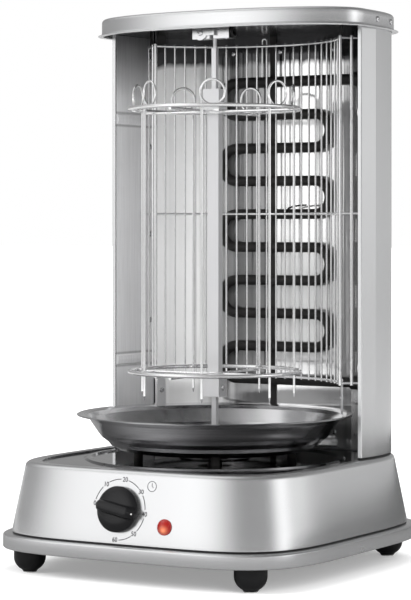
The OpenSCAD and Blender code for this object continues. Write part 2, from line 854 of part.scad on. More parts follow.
module spindle_sleeve() {
    low = ring_low_z - spoke_drop + plate_h / 2;
    high = ring_high_z - spoke_drop - plate_h / 2;
    color(polished) on_axis() difference() {
        translate([-sleeve_w / 2, -sleeve_d / 2, low]) cube([sleeve_w, sleeve_d, high - low]);
        square_bore(low - 1, high - low + 2);
    }
}

module hub(low) {
    color(polished) on_axis() difference() {
        translate([-hub_w / 2, -hub_d / 2, low]) cube([hub_w, hub_d, hub_h]);
        square_bore(low - 1, hub_h + 2);
        translate([0, 0, low + hub_h / 2]) rotate([0, 90, 0]) rod(1.5, hub_w);
    }
}

module hub_screws() {
    color(zinc) on_axis() for (z = [hub_low_z, hub_high_z])
        translate([hub_w / 2, 0, z + hub_h / 2]) rotate([0, 90, 0])
            screw(1.45, hub_w / 2 - spindle_side / 2 - 0.1);
}

function skewer_angle(k) = first_skewer_angle + 360 / skewer_count * k;

module skewer_ring(z) {
    color(polished) on_axis() difference() {
        translate([0, 0, z]) {
            rotate_extrude($fn = 96) translate([ring_r, 0]) circle(r = ring_rod / 2, $fn = 32);
            for (a = [0, 90, 180, 270]) translate([0, 0, -spoke_drop]) rotate([0, 90, a])
                cylinder(r = spoke_rod / 2, h = ring_r, $fn = 32);
            translate([-hub_w / 2, -hub_d / 2, -spoke_drop - plate_h / 2])
                cube([hub_w, hub_d, plate_h]);
            for (k = [0:skewer_count - 1]) rotate(skewer_angle(k)) translate([skewer_r, 0, 0])
                rotate_extrude($fn = 32)
                    translate([eye_r + eye_wire / 2, 0]) circle(r = eye_wire / 2, $fn = 32);
        }
        square_bore(z - spoke_drop - plate_h, 2 * plate_h);
        for (k = [0:skewer_count - 1]) rotate(skewer_angle(k))
            translate([skewer_r, 0, z - 5]) rod(eye_r, 10);
    }
}

// A straight wire hanging through both eyes, with a finger loop bent at its top.
module skewer(k) {
    wire_r = skewer_wire / 2;
    color(zinc) on_axis() rotate(skewer_angle(k - 1)) translate([skewer_r, 0, 0]) {
        translate([0, 0, tip_z + point_h]) rod(wire_r, loop_join_z - tip_z - point_h);
        translate([0, 0, tip_z]) cylinder(r1 = 0.3, r2 = wire_r, h = point_h, $fn = round_fn);
        translate([0, loop_offset, loop_z]) rotate([0, 90, 0]) rotate_extrude($fn = 96)
            translate([loop_r, 0]) circle(r = wire_r, $fn = round_fn);
    }
}

base_shell();
bottom_cover();
feet();
cover_screws();
top_plate();
tray_rests();
drip_tray();
bearing_bush();
drive_motor();
motor_bracket();
timer_body();
lamp_holder();
lamp_lens();
terminal_block();
cord_gland();
timer_knob();
timer_shaft();
cabinet_wall();
left_liner();
right_liner();
liner_screws();
reflector();
ceiling_sheet();
roof();
roof_screws();
bearing_bar();
latch_screw();
shaft_latch();
heater_tube();
heater_strip();
heater_insulators();
wire_guard();
guard_posts();
guard_hangers();
drive_socket();
spindle();
spindle_sleeve();
hub(hub_low_z);  // lower_hub
hub(hub_high_z);  // upper_hub
hub_screws();
skewer_ring(ring_low_z);  // lower_ring
skewer_ring(ring_high_z);  // upper_ring
skewer(1);  // skewer_1
skewer(2);  // skewer_2
skewer(3);  // skewer_3
skewer(4);  // skewer_4
skewer(5);  // skewer_5
skewer(6);  // skewer_6
skewer(7);  // skewer_7
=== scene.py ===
import bpy
import bmesh
from math import atan, copysign, cos, hypot, pi, radians, sin
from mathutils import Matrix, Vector


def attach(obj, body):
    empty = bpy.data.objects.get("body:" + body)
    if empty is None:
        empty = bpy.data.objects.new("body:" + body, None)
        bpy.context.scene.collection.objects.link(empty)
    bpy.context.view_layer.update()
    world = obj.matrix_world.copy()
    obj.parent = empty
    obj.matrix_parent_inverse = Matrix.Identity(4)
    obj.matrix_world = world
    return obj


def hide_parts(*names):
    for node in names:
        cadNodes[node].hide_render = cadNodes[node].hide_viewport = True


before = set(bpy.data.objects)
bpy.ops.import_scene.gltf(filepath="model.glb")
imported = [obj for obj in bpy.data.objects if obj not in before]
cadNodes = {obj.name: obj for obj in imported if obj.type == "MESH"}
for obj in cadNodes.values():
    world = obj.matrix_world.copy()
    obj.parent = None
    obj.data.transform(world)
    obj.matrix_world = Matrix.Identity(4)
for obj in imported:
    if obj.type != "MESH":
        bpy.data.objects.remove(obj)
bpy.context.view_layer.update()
scene = bpy.context.scene
mm = 0.001
axisY = 4  # the carousel turns about x = 0, y = axisY, in millimetres
print("grill: frame loaded,", len(cadNodes), "CAD nodes")


def addObject(name, data):
    made = bpy.data.objects.new(name, data)
    scene.collection.objects.link(made)
    return made


# Sums on sockets read as ordinary Python.
class Wire:
    def __init__(self, tree, socket):
        self.tree = tree
        self.socket = socket

    def maths(self, operation, *values):
        return self.tree.node("ShaderNodeMath", {"operation": operation}, *values)

    def __add__(self, other):
        return self.maths("ADD", self, other)

    def __radd__(self, other):
        return self.maths("ADD", other, self)

    def __sub__(self, other):
        return self.maths("SUBTRACT", self, other)

    def __rsub__(self, other):
        return self.maths("SUBTRACT", other, self)

    def __mul__(self, other):
        return self.maths("MULTIPLY", self, other)

    def __rmul__(self, other):
        return self.maths("MULTIPLY", other, self)

    def __pow__(self, other):
        return self.maths("POWER", self, other)

    def __abs__(self):
        return self.maths("ABSOLUTE", self)

    def atLeast(self, other):
        return self.maths("MAXIMUM", self, other)


class NodeTree:
    def __init__(self, tree):
        self.tree = tree

    def fill(self, socket, value):
        if isinstance(value, Wire):
            self.tree.links.new(value.socket, socket)
        elif socket.type == "RGBA" and len(value) == 3:
            socket.default_value = (*value, 1)
        else:
            socket.default_value = value

    def node(self, kind, settings=None, *values, out=0, **named):
        made = self.tree.nodes.new(kind)
        for key, value in (settings or {}).items():
            if key == "stops":
                ramp = made.color_ramp
                while len(ramp.elements) < len(value):
                    ramp.elements.new(0.5)
                for element, (place, shade) in zip(ramp.elements, value):
                    element.position = place
                    element.color = (shade, shade, shade, 1)
            else:
                setattr(made, key, value)
        for index, value in enumerate(values):
            self.fill(made.inputs[index], value)
        for key, value in named.items():
            self.fill(made.inputs[key.replace("_", " ")], value)
        return Wire(self, made.outputs[out])

    def remap(self, value, low, high, fromLow=0.0, fromHigh=1.0):
        return self.node("ShaderNodeMapRange", None, value, fromLow, fromHigh, low, high)

    def here(self):
        # A point's own place, in metres.
        return self.node("ShaderNodeTexCoord", out=3)

    def part(self, vector, axis):
        return self.node("ShaderNodeSeparateXYZ", None, vector, out="XYZ".index(axis))

    def rays(self, *kinds):
        # One value for each kind of ray: 1 for a ray of that kind, otherwise 0.
        path = self.tree.nodes.new("ShaderNodeLightPath")
        return [Wire(self, path.outputs[f"Is {kind} Ray"]) for kind in kinds]


class Paint(NodeTree):
    # One material and its shader.
    def __init__(self, name):
        self.material = bpy.data.materials.new(name)
        self.material.use_nodes = True
        super().__init__(self.material.node_tree)
        self.tree.nodes.clear()

    def place(self, stretch=(1, 1, 1), centre=(0, 0, 0)):
        return self.node("ShaderNodeMapping", None, Vector=self.here(), Location=centre,
                         Scale=stretch)

    def noise(self, scale, detail=2.0, stretch=(1, 1, 1)):
        return self.node("ShaderNodeTexNoise", None, Vector=self.place(stretch), Scale=scale,
                         Detail=detail)

    def blendColours(self, factor, first, second):
        made = self.tree.nodes.new("ShaderNodeMix")
        made.data_type = "RGBA"
        self.fill(made.inputs[0], factor)
        self.fill(made.inputs[6], first)
        self.fill(made.inputs[7], second)
        return Wire(self, made.outputs[2])

    def bump(self, height, distance, strength=1.0):
        return self.node("ShaderNodeBump", None, Height=height, Distance=distance,
                         Strength=strength)

    def surface(self, **sockets):
        made = self.tree.nodes.new("ShaderNodeBsdfPrincipled")
        for key, value in sockets.items():
            self.fill(made.inputs[key.replace("_", " ")], value)
        output = self.tree.nodes.new("ShaderNodeOutputMaterial")
        self.tree.links.new(made.outputs[0], output.inputs[0])
        return self.material


class Grower(NodeTree):
    # One Geometry Nodes tree with named sizes, run on a piece and kept as a plain mesh.
    def __init__(self, name, **sizes):
        super().__init__(bpy.data.node_groups.new(name, "GeometryNodeTree"))
        face = self.tree.interface
        face.new_socket("Geometry", in_out="INPUT", socket_type="NodeSocketGeometry")
        self.sizes = {}
        for label, size in sizes.items():
            kind = "NodeSocketInt" if isinstance(size, int) else "NodeSocketFloat"
            socket = face.new_socket(label, in_out="INPUT", socket_type=kind)
            self.sizes[label] = (socket.identifier, size)
        face.new_socket("Geometry", in_out="OUTPUT", socket_type="NodeSocketGeometry")
        self.entry = self.tree.nodes.new("NodeGroupInput")

    def given(self, label="Geometry"):
        return Wire(self, self.entry.outputs[label])

    def vector(self, x=0.0, y=0.0, z=0.0):
        return self.node("ShaderNodeCombineXYZ", None, x, y, z)

    def raised(self, geometry, height):
        return self.node("GeometryNodeTransform", None, Geometry=geometry,
                         Translation=self.vector(z=height))

    def attribute(self, name, kind="FLOAT"):
        return self.node("GeometryNodeInputNamedAttribute", {"data_type": kind}, Name=name)

    def together(self, *parts):
        made = self.tree.nodes.new("GeometryNodeJoinGeometry")
        for part in parts:
            self.tree.links.new(part.socket, made.inputs[0])
        return Wire(self, made.outputs[0])

    def build(self, name, mesh, last, look, body, slotName, smooth=40):
        plain = self.node("GeometryNodeRealizeInstances", None, last)
        dressed = self.node("GeometryNodeSetMaterial", None, Geometry=plain, Material=looks[look])
        output = self.tree.nodes.new("NodeGroupOutput")
        self.tree.links.new(dressed.socket, output.inputs[0])
        piece = addObject(name, mesh)
        modifier = piece.modifiers.new(name, "NODES")
        modifier.node_group = self.tree
        for identifier, size in self.sizes.values():
            modifier[identifier] = size
        seen = piece.evaluated_get(bpy.context.evaluated_depsgraph_get())
        grown = bpy.data.meshes.new_from_object(seen)
        piece.modifiers.clear()
        piece.data = grown
        grown.shade_smooth()
        grown.set_sharp_from_angle(angle=radians(smooth))
        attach(piece, body)
        return piece


def scaled(colour, share):
    return tuple(part * share for part in colour)


def radiusFromAxis(paint):
    # Distance of a point from the carousel's axis, in metres.
    centred = paint.place(centre=(0, -axisY * mm, 0))
    flat = paint.node("ShaderNodeVectorMath", {"operation": "MULTIPLY"}, centred, (1, 1, 0))
    return paint.node("ShaderNodeVectorMath", {"operation": "LENGTH"}, flat, out=1)


silverLook = {"colour": (0.70, 0.703, 0.71), "deep": (0.64, 0.644, 0.65), "rough": 0.25,
              "flake": 2600, "haze": 9}


def makeSilver():
    # Satin silver lacquer: fine flakes under a thin clear coat.
    paint = Paint("silver_paint")
    flakes = paint.noise(silverLook["flake"], 1.0)
    haze = paint.noise(silverLook["haze"], 3.0)
    tone = paint.remap(flakes, 0.35, 0.65) * 0.5 + haze * 0.5
    rough = paint.remap(haze, silverLook["rough"] - 0.03, silverLook["rough"] + 0.04)
    colour = paint.blendColours(tone, silverLook["deep"], silverLook["colour"])
    return paint.surface(Base_Color=colour, Metallic=0.92, Roughness=rough, Coat_Weight=0.08,
                         Coat_Roughness=0.2, Normal=paint.bump(flakes, 0.00002, 0.12))


def makeBrushed(name, colour, rough, stretch, depth=0.00003, grain=900, metal=1.0):
    # Fine lines along the axis whose stretch is small.
    paint = Paint(name)
    lines = paint.noise(grain, 2.0, stretch)
    cloud = paint.noise(14, 3.0)
    tone = paint.remap(lines, 0.3, 0.7)
    mixed = paint.blendColours(tone, scaled(colour, 0.86), colour)
    return paint.surface(Base_Color=mixed, Metallic=metal,
                         Roughness=paint.remap(tone * 0.6 + cloud * 0.4, rough - 0.05, rough + 0.08),
                         Normal=paint.bump(lines, depth, 0.35))


def makePolished(name, colour, rough, wave=0.0004):
    # Bright sheet: slow ripples from pressing and faint smears.
    paint = Paint(name)
    ripple = paint.noise(7)
    smear = paint.noise(60, 4.0, (1, 1, 0.35))
    mixed = paint.blendColours(smear, scaled(colour, 0.94), colour)
    return paint.surface(Base_Color=mixed, Metallic=1.0,
                         Roughness=paint.remap(smear, rough, rough + 0.07, 0.35, 0.75),
                         Normal=paint.bump(ripple, wave, 0.5))


# Colours and stops of the painted reflection bands across the sheet, and the heights of the painted shade
# under the roof.
reflectorLook = {"bright": (0.99, 0.99, 0.99), "paintedDark": (0.05, 0.05, 0.052), "metal": (0.2, 0.72),
                 "half": 0.14, "metalFrom": (0.2, 0.3), "smooth": (0.03, 0.1),
                 "across": [(0.06, 0.9), (0.15, 1.0), (0.22, 0.5), (0.29, 0.14), (0.43, 0.26),
                            (0.465, 0.95), (0.62, 1.0), (0.74, 0.8), (0.84, 0.2)],
                 "paintedShadeLow": 0.500, "paintedShadeHigh": 0.506}


def makeReflector():
    # Bright sheet behind the heater, with painted reflection in light and dark bands across it and painted
    # shade under the roof.
    paint = Paint("bright_reflector")
    half = reflectorLook["half"]
    across = paint.remap(paint.part(paint.here(), "X"), 0.0, 1.0, -half, half)
    height = paint.part(paint.here(), "Z")
    streaks = paint.noise(26, 3.0, (3, 3, 0.06))
    sway = across + (streaks - 0.5) * 0.16
    # Painted reflection: light and dark bands across the sheet stand for what it reflects.
    band = paint.node("ShaderNodeValToRGB", {"stops": reflectorLook["across"]}, sway)
    # Painted shade: the sheet goes dark towards the roof, with a ragged edge.
    ragged = height + (paint.noise(40, 3.0, (1, 1, 0.2)) - 0.5) * 0.02
    outsidePaintedShade = paint.remap(ragged, 1.0, 0.0, reflectorLook["paintedShadeLow"], reflectorLook["paintedShadeHigh"])
    tone = band * outsidePaintedShade
    smear = paint.noise(60, 4.0, (1, 1, 0.35))
    # Low metal on the left makes the white band there a painted highlight.
    metal = paint.remap(across, *reflectorLook["metal"], *reflectorLook["metalFrom"])
    colour = paint.blendColours(tone, reflectorLook["paintedDark"], reflectorLook["bright"])
    return paint.surface(Base_Color=colour, Metallic=metal,
                         Roughness=paint.remap(smear, *reflectorLook["smooth"]),
                         Normal=paint.bump(streaks, 0.0006, 0.5))


# Heights of the painted shade near the roof and of the painted shade lines beside the beads, in metres.
linerLook = {"pale": (0.84, 0.84, 0.85), "dark": (0.10, 0.10, 0.105), "metal": 0.5,
             "paintedShadeLow": 0.47, "paintedShadeHigh": 0.53, "beads": (0.1955, 0.4451), "fold": 0.0065,
             "foldWide": 0.002, "shade": 0.5}


def makeLiner():
    # Satin side sheet, brushed up and down, with painted shade near the roof and painted shade lines along
    # its beads.
    paint = Paint("brushed_liner")
    lines = paint.noise(900, 2.0, (1, 1, 0.02))
    cloud = paint.noise(14, 3.0)
    height = paint.part(paint.here(), "Z")
    # Painted shade: darker towards the roof.
    paintedRoofShade = paint.remap(height + (cloud - 0.5) * 0.03, 0.0, 1.0, linerLook["paintedShadeLow"],
                       linerLook["paintedShadeHigh"])
    tone = paintedRoofShade * 0.8 + paint.remap(lines, 0.12, 0.0, 0.3, 0.7)
    # Painted shade: a dark line along each edge of every bead.
    for bead in linerLook["beads"]:
        beside = abs(abs(height - bead) - linerLook["fold"])
        tone = tone + paint.remap(beside, linerLook["shade"], 0.0, 0.0, linerLook["foldWide"])
    return paint.surface(Base_Color=paint.blendColours(tone, linerLook["pale"], linerLook["dark"]),
                         Metallic=linerLook["metal"], Roughness=paint.remap(cloud, 0.36, 0.5),
                         Normal=paint.bump(lines, 0.00003, 0.35))


def makeTurned(name, colour, rough):
    # Pressed round ware: fine rings about the carousel's axis.
    paint = Paint(name)
    away = radiusFromAxis(paint)
    rings = paint.node("ShaderNodeTexNoise", {"noise_dimensions": "1D"}, W=away, Scale=1900.0,
                       Detail=2.0)
    smear = paint.noise(35, 3.0)
    mixed = paint.blendColours(rings, scaled(colour, 0.9), colour)
    return paint.surface(Base_Color=mixed, Metallic=1.0,
                         Roughness=paint.remap(rings * 0.5 + smear * 0.5, rough, rough + 0.1, 0.3, 0.7),
                         Normal=paint.bump(rings, 0.00002, 0.25))


def makePlastic(name, colour, rough, grain=1500, depth=0.00002, coat=0.0, shine=0.4):
    # Plain moulded stuff with fine pores; also ceramic, rubber, felt and ink.
    paint = Paint(name)
    pores = paint.noise(grain, 2.0)
    cloud = paint.noise(25, 2.0)
    paler = tuple(part * 1.25 + 0.003 for part in colour)
    return paint.surface(Base_Color=paint.blendColours(cloud, colour, paler),
                         Roughness=paint.remap(pores * 0.4 + cloud * 0.6, rough - 0.04, rough + 0.08),
                         Specular_IOR_Level=shine, Coat_Weight=coat, Coat_Roughness=0.05,
                         Normal=paint.bump(pores, depth, 0.3))


def makeHeater():
    # Oxidised sheath: matt black with a faint brown cast where it has been hottest.
    paint = Paint("oxidised_heater")
    patches = paint.noise(45, 4.0)
    grain = paint.noise(1100, 3.0)
    colour = paint.blendColours(patches, (0.007, 0.007, 0.0075), (0.016, 0.014, 0.013))
    return paint.surface(Base_Color=colour, Roughness=paint.remap(grain, 0.55, 0.75),
                         Normal=paint.bump(grain, 0.00006, 0.4))


lampLook = {"hot": (0.0482, -0.1702, 0.0548), "reach": 0.0062}


def makeLens():
    # Red moulded lens, lit from inside a little below its middle.
    paint = Paint("red_lens")
    grain = paint.noise(900, 1.0)
    away = paint.node("ShaderNodeVectorMath", {"operation": "DISTANCE"}, paint.here(),
                      lampLook["hot"], out=1)
    near = paint.remap(away, 1.0, 0.0, 0.0, lampLook["reach"]) ** 1.7
    red = paint.blendColours(grain, (0.16, 0.006, 0.005), (0.30, 0.014, 0.01))
    glow = paint.blendColours(near, (0.06, 0.001, 0.001), (1.0, 0.42, 0.2))
    return paint.surface(Base_Color=red, Roughness=0.1, IOR=1.49, Coat_Weight=0.3,
                         Emission_Color=glow, Emission_Strength=1.0)


looks = {
    "silver": makeSilver(),
    "reflector": makeReflector(),
    # The polished ceiling sheet is given a near-black colour: painted shade under the roof.
    "ceiling": makePolished("dark_ceiling", (0.045, 0.045, 0.05), 0.12, 0.002),
    "plate": makePolished("dark_bright_plate", (0.24, 0.24, 0.245), 0.05, 0.0006),
    "tray": makeTurned("turned_tray", (0.78, 0.78, 0.79), 0.12),
    "wire": makeBrushed("drawn_wire", (0.95, 0.95, 0.955), 0.09, (1, 1, 1), 0.00001, 500, 0.9),
    "liner": makeLiner(),
    "bracket": makeBrushed("satin_bracket", (0.6, 0.6, 0.61), 0.3, (1, 1, 0.05), metal=0.7),
    "zinc": makeBrushed("plated_steel", (0.74, 0.74, 0.75), 0.2, (1, 1, 1), 0.00001, 500),
    "heater": makeHeater(),
    "cover": makePlastic("black_cover", (0.05, 0.05, 0.052), 0.5),
    "ceramic": makePlastic("white_ceramic", (0.78, 0.76, 0.72), 0.55),
    "plastic": makePlastic("black_plastic", (0.018, 0.018, 0.019), 0.42),
    "knob": makePlastic("gloss_black", (0.004, 0.004, 0.0045), 0.2, 900, 0.00001, 0.08, 0.25),
    "rubber": makePlastic("foot_rubber", (0.006, 0.006, 0.0065), 0.3, shine=0.25),
    "lens": makeLens(),
    "felt": makePlastic("pale_felt", (0.42, 0.42, 0.41), 0.8, 2500, 0.0001),
    "ink": makePlastic("printed_ink", (0.02, 0.02, 0.022), 0.5),
    "dot": makePlastic("pale_dot", (0.75, 0.75, 0.73), 0.4),
}
print("grill: materials made,", len(looks))

# Nodes that stay as they are; the others are replaced by pieces made below.
nodeLooks = {
    "ceiling": ["ceiling_sheet"],
    "reflector": ["reflector"],
    "plate": ["top_plate"],
    "tray": ["drip_tray"],
    "wire": ["lower_ring", "upper_ring"] + [f"skewer_{k}" for k in range(1, 8)],
    "bracket": ["spindle_sleeve", "lower_hub", "upper_hub", "spindle", "guard_posts",
                "motor_bracket"],
    "liner": ["left_liner", "right_liner"],
    "zinc": ["drive_motor", "timer_shaft", "bearing_bar", "shaft_latch"],
    "heater": ["heater_tube", "heater_strip", "tray_rests", "heater_insulators",
               "guard_hangers"],
    "cover": ["bottom_cover"],
    "ceramic": ["terminal_block"],
    "plastic": ["timer_body", "lamp_holder", "cord_gland", "bearing_bush", "drive_socket"],
}
for look, names in nodeLooks.items():
    for name in names:
        for slot in cadNodes[name].material_slots:
            slot.material = looks[look]
print("grill: CAD nodes dressed")


# Mesh helpers. A shape is its corners and faces; its millimetres are turned into metres here.
def plainMesh(name, shape, smooth=28):
    corners, faces = shape
    mesh = bpy.data.meshes.new(name)
    mesh.from_pydata([[part * mm for part in corner] for corner in corners], [], faces)
    mesh.validate()
    shaper = bmesh.new()
    shaper.from_mesh(mesh)
    bmesh.ops.remove_doubles(shaper, verts=shaper.verts, dist=1e-7)
    bmesh.ops.recalc_face_normals(shaper, faces=shaper.faces)
    shaper.to_mesh(mesh)
    shaper.free()
    mesh.shade_smooth()
    mesh.set_sharp_from_angle(angle=radians(smooth))
    return mesh


def meshPiece(name, shape, look, body, smooth=28):
    mesh = plainMesh(name, shape, smooth)
    mesh.materials.append(looks[look])
    piece = addObject(name, mesh)
    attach(piece, body)
    return piece


def moved(shape, place):
    # A shape whose every corner is put through a function.
    corners, faces = shape
    return [place(corner) for corner in corners], faces


def loopFaces(ringCount, pointCount, closed=False, capLow=False, capHigh=False):
    faces = []
    last = ringCount if closed else ringCount - 1
    for ring in range(last):
        upper = (ring + 1) % ringCount
        for point in range(pointCount):
            beside = (point + 1) % pointCount
            faces.append((ring * pointCount + point, ring * pointCount + beside,
                          upper * pointCount + beside, upper * pointCount + point))
    if capLow:
        faces.append(tuple(range(pointCount - 1, -1, -1)))
    if capHigh:
        start = (ringCount - 1) * pointCount
        faces.append(tuple(start + point for point in range(pointCount)))
    return faces


def aroundAxis(radius, angle):
    # A place in plan round the carousel's axis, from straight behind it.
    return radius * sin(angle), axisY + radius * cos(angle)


def circle(radius, height, count, shift=0.0):
    angles = [2 * pi * (k + shift) / count for k in range(count)]
    return [(radius * cos(angle), radius * sin(angle), height) for angle in angles]


def lathe(profile, count):
    # Rings of points about Z through (radius, height) pairs, and the faces between them.
    corners = [corner for radius, height in profile for corner in circle(radius, height, count)]
    return corners, loopFaces(len(profile), count, capLow=True, capHigh=True)


def tube(path, radius, sides=12, closed=False):
    # A round wire along a path of points, with flat ends.
    points = [Vector(point) for point in path]
    count = len(points)
    corners = []
    across = None
    for index, point in enumerate(points):
        before = points[index - 1] if index or closed else point
        after = points[(index + 1) % count] if index + 1 < count or closed else point
        along = (after - before).normalized()
        if across is None:
            across = along.orthogonal()
        across = (across - along * across.dot(along)).normalized()
        beside = along.cross(across)
        for side in range(sides):
            angle = 2 * pi * side / sides
            corners.append(point + across * radius * cos(angle) + beside * radius * sin(angle))
    return corners, loopFaces(count, sides, closed=closed, capLow=not closed, capHigh=not closed)


outlineSteps = 288


def blendOutline(halfWidth, middleY, back, backPower, front, frontPower, count=outlineSteps):
    # A rounded outline in plan, whose curve may differ before and behind its middle.
    points = []
    for step in range(count):
        angle = 2 * pi * step / count
        across, along = cos(angle), sin(angle)
        power = backPower if along > 0 else frontPower
        depth = back if along > 0 else front
        points.append((copysign(halfWidth * abs(across) ** (2 / power), across),
                       middleY + copysign(depth * abs(along) ** (2 / power), along)))
    return points


def swept(profile, outline, **ends):
    # A profile of (inset, height) pairs, carried round an outline.
    corners = [(x, y, height) for inset, height in profile for x, y in outline(inset)]
    return corners, loopFaces(len(profile), outlineSteps, **ends)


base = {"width": 340, "depth": 352, "power": 4.5, "rimLow": 23, "rimTop": 37, "rimOut": 7,
        "lean": 11, "top": 106, "edge": 5, "lip": 9, "recess": 3}
faceHeight = base["top"] - base["edge"] - base["rimTop"]
leanAngle = atan(base["lean"] / faceHeight)


def baseOutline(inset):
    half, deep = base["width"] / 2 - inset, base["depth"] / 2 - inset
    return blendOutline(half, 0, deep, base["power"], deep, base["power"])


def arcPoints(centreInset, centreZ, radius, start, end, steps):
    # Part of a rounded edge of a profile: 0 degrees lies outwards and 90 up.
    points = []
    for step in range(steps + 1):
        angle = radians(start + (end - start) * step / steps)
        points.append((centreInset - radius * cos(angle), centreZ + radius * sin(angle)))
    return points


def makeHousing():
    # The pressed housing with its rim band, drawn without holes, and a black ring in the groove over the
    # rim that stands for the groove's shade.
    foot, top, edge = base["rimOut"], base["top"], base["edge"]
    flat = foot + base["lean"] + edge
    lip = flat + base["lip"]
    profile = [(2.5, 34.5), (2.5, 23.4), (2.2, base["rimLow"])]
    profile += arcPoints(1.6, 24.6, 1.6, -80, 0, 5)
    profile += arcPoints(1.6, 35.0, 1.6, 0, 75, 6)
    profile += [(3.0, 36.95), (8.4, 36.9), (8.4, 38.5), (7.5, 38.7)]
    profile += [(foot + base["lean"] * share, base["rimTop"] + faceHeight * share)
                for share in (0.06, 0.3, 0.6, 0.9)]
    profile += arcPoints(flat, top - edge, edge, 5, 88, 8)
    profile += [(flat + 0.8, top), (lip - 0.9, top), (lip - 0.25, top - 0.25), (lip, top - 0.9)]
    plate = top - base["recess"]
    profile += [(lip, plate), (38, plate), (38, plate - 2), (22, plate - 2), (19.8, 96.5), (9.9, 38.5),
                (9.2, 34.5)]
    piece = meshPiece("housing", swept(profile, baseOutline, closed=True), "silver", "frame")
    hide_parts("base_shell")
    # Painted shade: a black ring set in the groove above the rim band.
    profile = [(8.1, 36.92), (8.0, 37.1), (8.0, 38.3), (8.1, 38.48), (8.38, 38.48), (8.38, 36.92)]
    meshPiece("rim_joint", swept(profile, baseOutline, closed=True), "rubber", "frame")


cabinet = {"half": 147.5, "front": 39, "back": 114.5, "power": 4, "roofOut": 2, "roofFront": 65,
           "roofPower": 2.2, "top": 546, "band": 18, "wall": 1.5, "turn": 2.4, "strip": 26, "hem": 4,
           "shadeStrip": 2.2, "ceiling": 532}


def roofOutline(out):
    return blendOutline(cabinet["half"] + cabinet["roofOut"] + out, cabinet["front"],
                        cabinet["back"] + cabinet["roofOut"] + out, cabinet["power"],
                        cabinet["roofFront"] + out, cabinet["roofPower"])


def makeRoof():
    # A shallow lid with a rounded edge and a turned-out lip, in (out, height) pairs from its inside.
    top, edge = cabinet["top"], 4.2
    low = top - cabinet["band"]
    profile = [(-3.4, top - 1.5), (-1.9, top - 3), (-1.5, top - 5), (-1.5, low + 0.3), (-1.1, low),
               (3.4, low), (3.9, low + 0.3), (4.0, low + 0.7), (3.6, low + 1.1), (2.2, low + 1.4),
               (1.0, low + 1.8), (0.3, low + 2.6), (0, low + 3.8), (0, top - 6)]
    for degrees in (12, 25, 38, 51, 64, 77, 88):
        angle = radians(degrees)
        profile.append((edge * cos(angle) - edge, top - edge + edge * sin(angle)))
    profile.append((-5.5, top))
    piece = meshPiece("roof_cover", swept(profile, roofOutline, capLow=True, capHigh=True), "silver",
                      "frame")
    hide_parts("roof")


def cabinetPath(out):
    half, front = cabinet["half"] + out, cabinet["front"]
    crease = front + cabinet["strip"]
    curve = [point for point in blendOutline(half, front, cabinet["back"] + out, cabinet["power"],
                                             1, cabinet["power"], 240)
             if point[1] > crease + 1]
    return ([(half - cabinet["turn"], front), (half, crease)] + curve
            + [(-half, crease), (cabinet["turn"] - half, front)])


def foldedWall(name, low, high, out, look, smooth):
    # The cabinet's sheet in plan, with its front edges folded in, raised between two heights.
    wall, hem, front = cabinet["wall"], cabinet["hem"], cabinet["front"]
    outer = cabinetPath(out)
    inner = cabinetPath(out - wall)
    inner[0] = (inner[0][0], front + wall)
    inner[-1] = (inner[-1][0], front + wall)
    inward = outer[0][0] - hem
    rightFold = [(inward, front + wall), (inward - 0.2, front + 0.8), (inward, front),
                 (outer[0][0] - 0.8, front)]
    leftFold = [(-x, y) for x, y in reversed(rightFold)]
    outer[0] = (outer[0][0], front + 0.9)
    outer[-1] = (outer[-1][0], front + 0.9)
    loop = rightFold + outer + leftFold + inner[::-1]
    corners = [(x, y, z) for z in (low, low + 0.4, high) for x, y in loop]
    faces = loopFaces(3, len(loop))
    outerStart, count, total = len(rightFold), len(outer), len(loop)
    for level in (0, 2):
        start = level * total
        for step in range(count - 1):
            a, b = outerStart + step, outerStart + step + 1
            c, d = total - 1 - step, total - 2 - step
            faces.append((start + a, start + b, start + d, start + c))
        faces.append((start, start + 1, start + 2, start + 3, start + 4, start + total - 1))
        left = outerStart + count
        faces.append((start + left - 1, start + left, start + left + 1, start + left + 2,
                      start + left + 3, start + left + 4))
    return meshPiece(name, (corners, faces), look, "frame", smooth)


def makeCabinet():
    foot = base["top"] + cabinet["shadeStrip"]
    skin = foldedWall("cabinet_skin", foot, cabinet["top"] - 1.6, 0, "silver", 5)
    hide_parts("cabinet_wall")
    # Painted shade: a black strip at the cabinet's foot stands for the shadow in the gap between it and
    # the base.
    foldedWall("cabinet_seal", base["top"] + 0.02, foot - 0.02, -0.5, "rubber", 5)


makeHousing()
makeRoof()
makeCabinet()
print("grill: housing, roof and cabinet made")


# Places on the leaning front: u across, v up along it, out of it by a little.
def frontPoint(middleX, middleZ, u, v, out):
    x, z = middleX + u, middleZ + v * cos(leanAngle)
    lean = base["lean"] * (z - base["rimTop"]) / faceHeight
    half = base["width"] / 2 - base["rimOut"] - lean
    deep = base["depth"] / 2 - base["rimOut"] - lean
    face = deep * (1 - (abs(x) / half) ** base["power"]) ** (1 / base["power"])
    return (x, -face - out * cos(leanAngle), z + out * sin(leanAngle))


def frontTurn(middleX, middleZ):
    # The frame of a piece that stands square on the front at one place.
    origin = Vector(frontPoint(middleX, middleZ, 0, 0, 0))
    across, up = Vector((1, 0, 0)), Vector((0, sin(leanAngle), cos(leanAngle)))
    out = across.cross(up)
    return lambda point: tuple(origin + across * point[0] + up * point[1] + out * point[2])


dial = {"x": -4, "z": 70, "radius": 28.2, "line": 0.7, "thick": 0.13, "first": 171.0, "step": 44.2,
        "marks": ["0", "10", "20", "30", "40", "50", "60"], "gap": 8.8, "height": 5.8 * 0.82,
        "letterSize": 1.32, "letterBold": 0.07, "letterWide": 0.92,
        "clockX": 29.5, "clockZ": 93, "clockRadius": 4.7, "clockLine": 0.55}


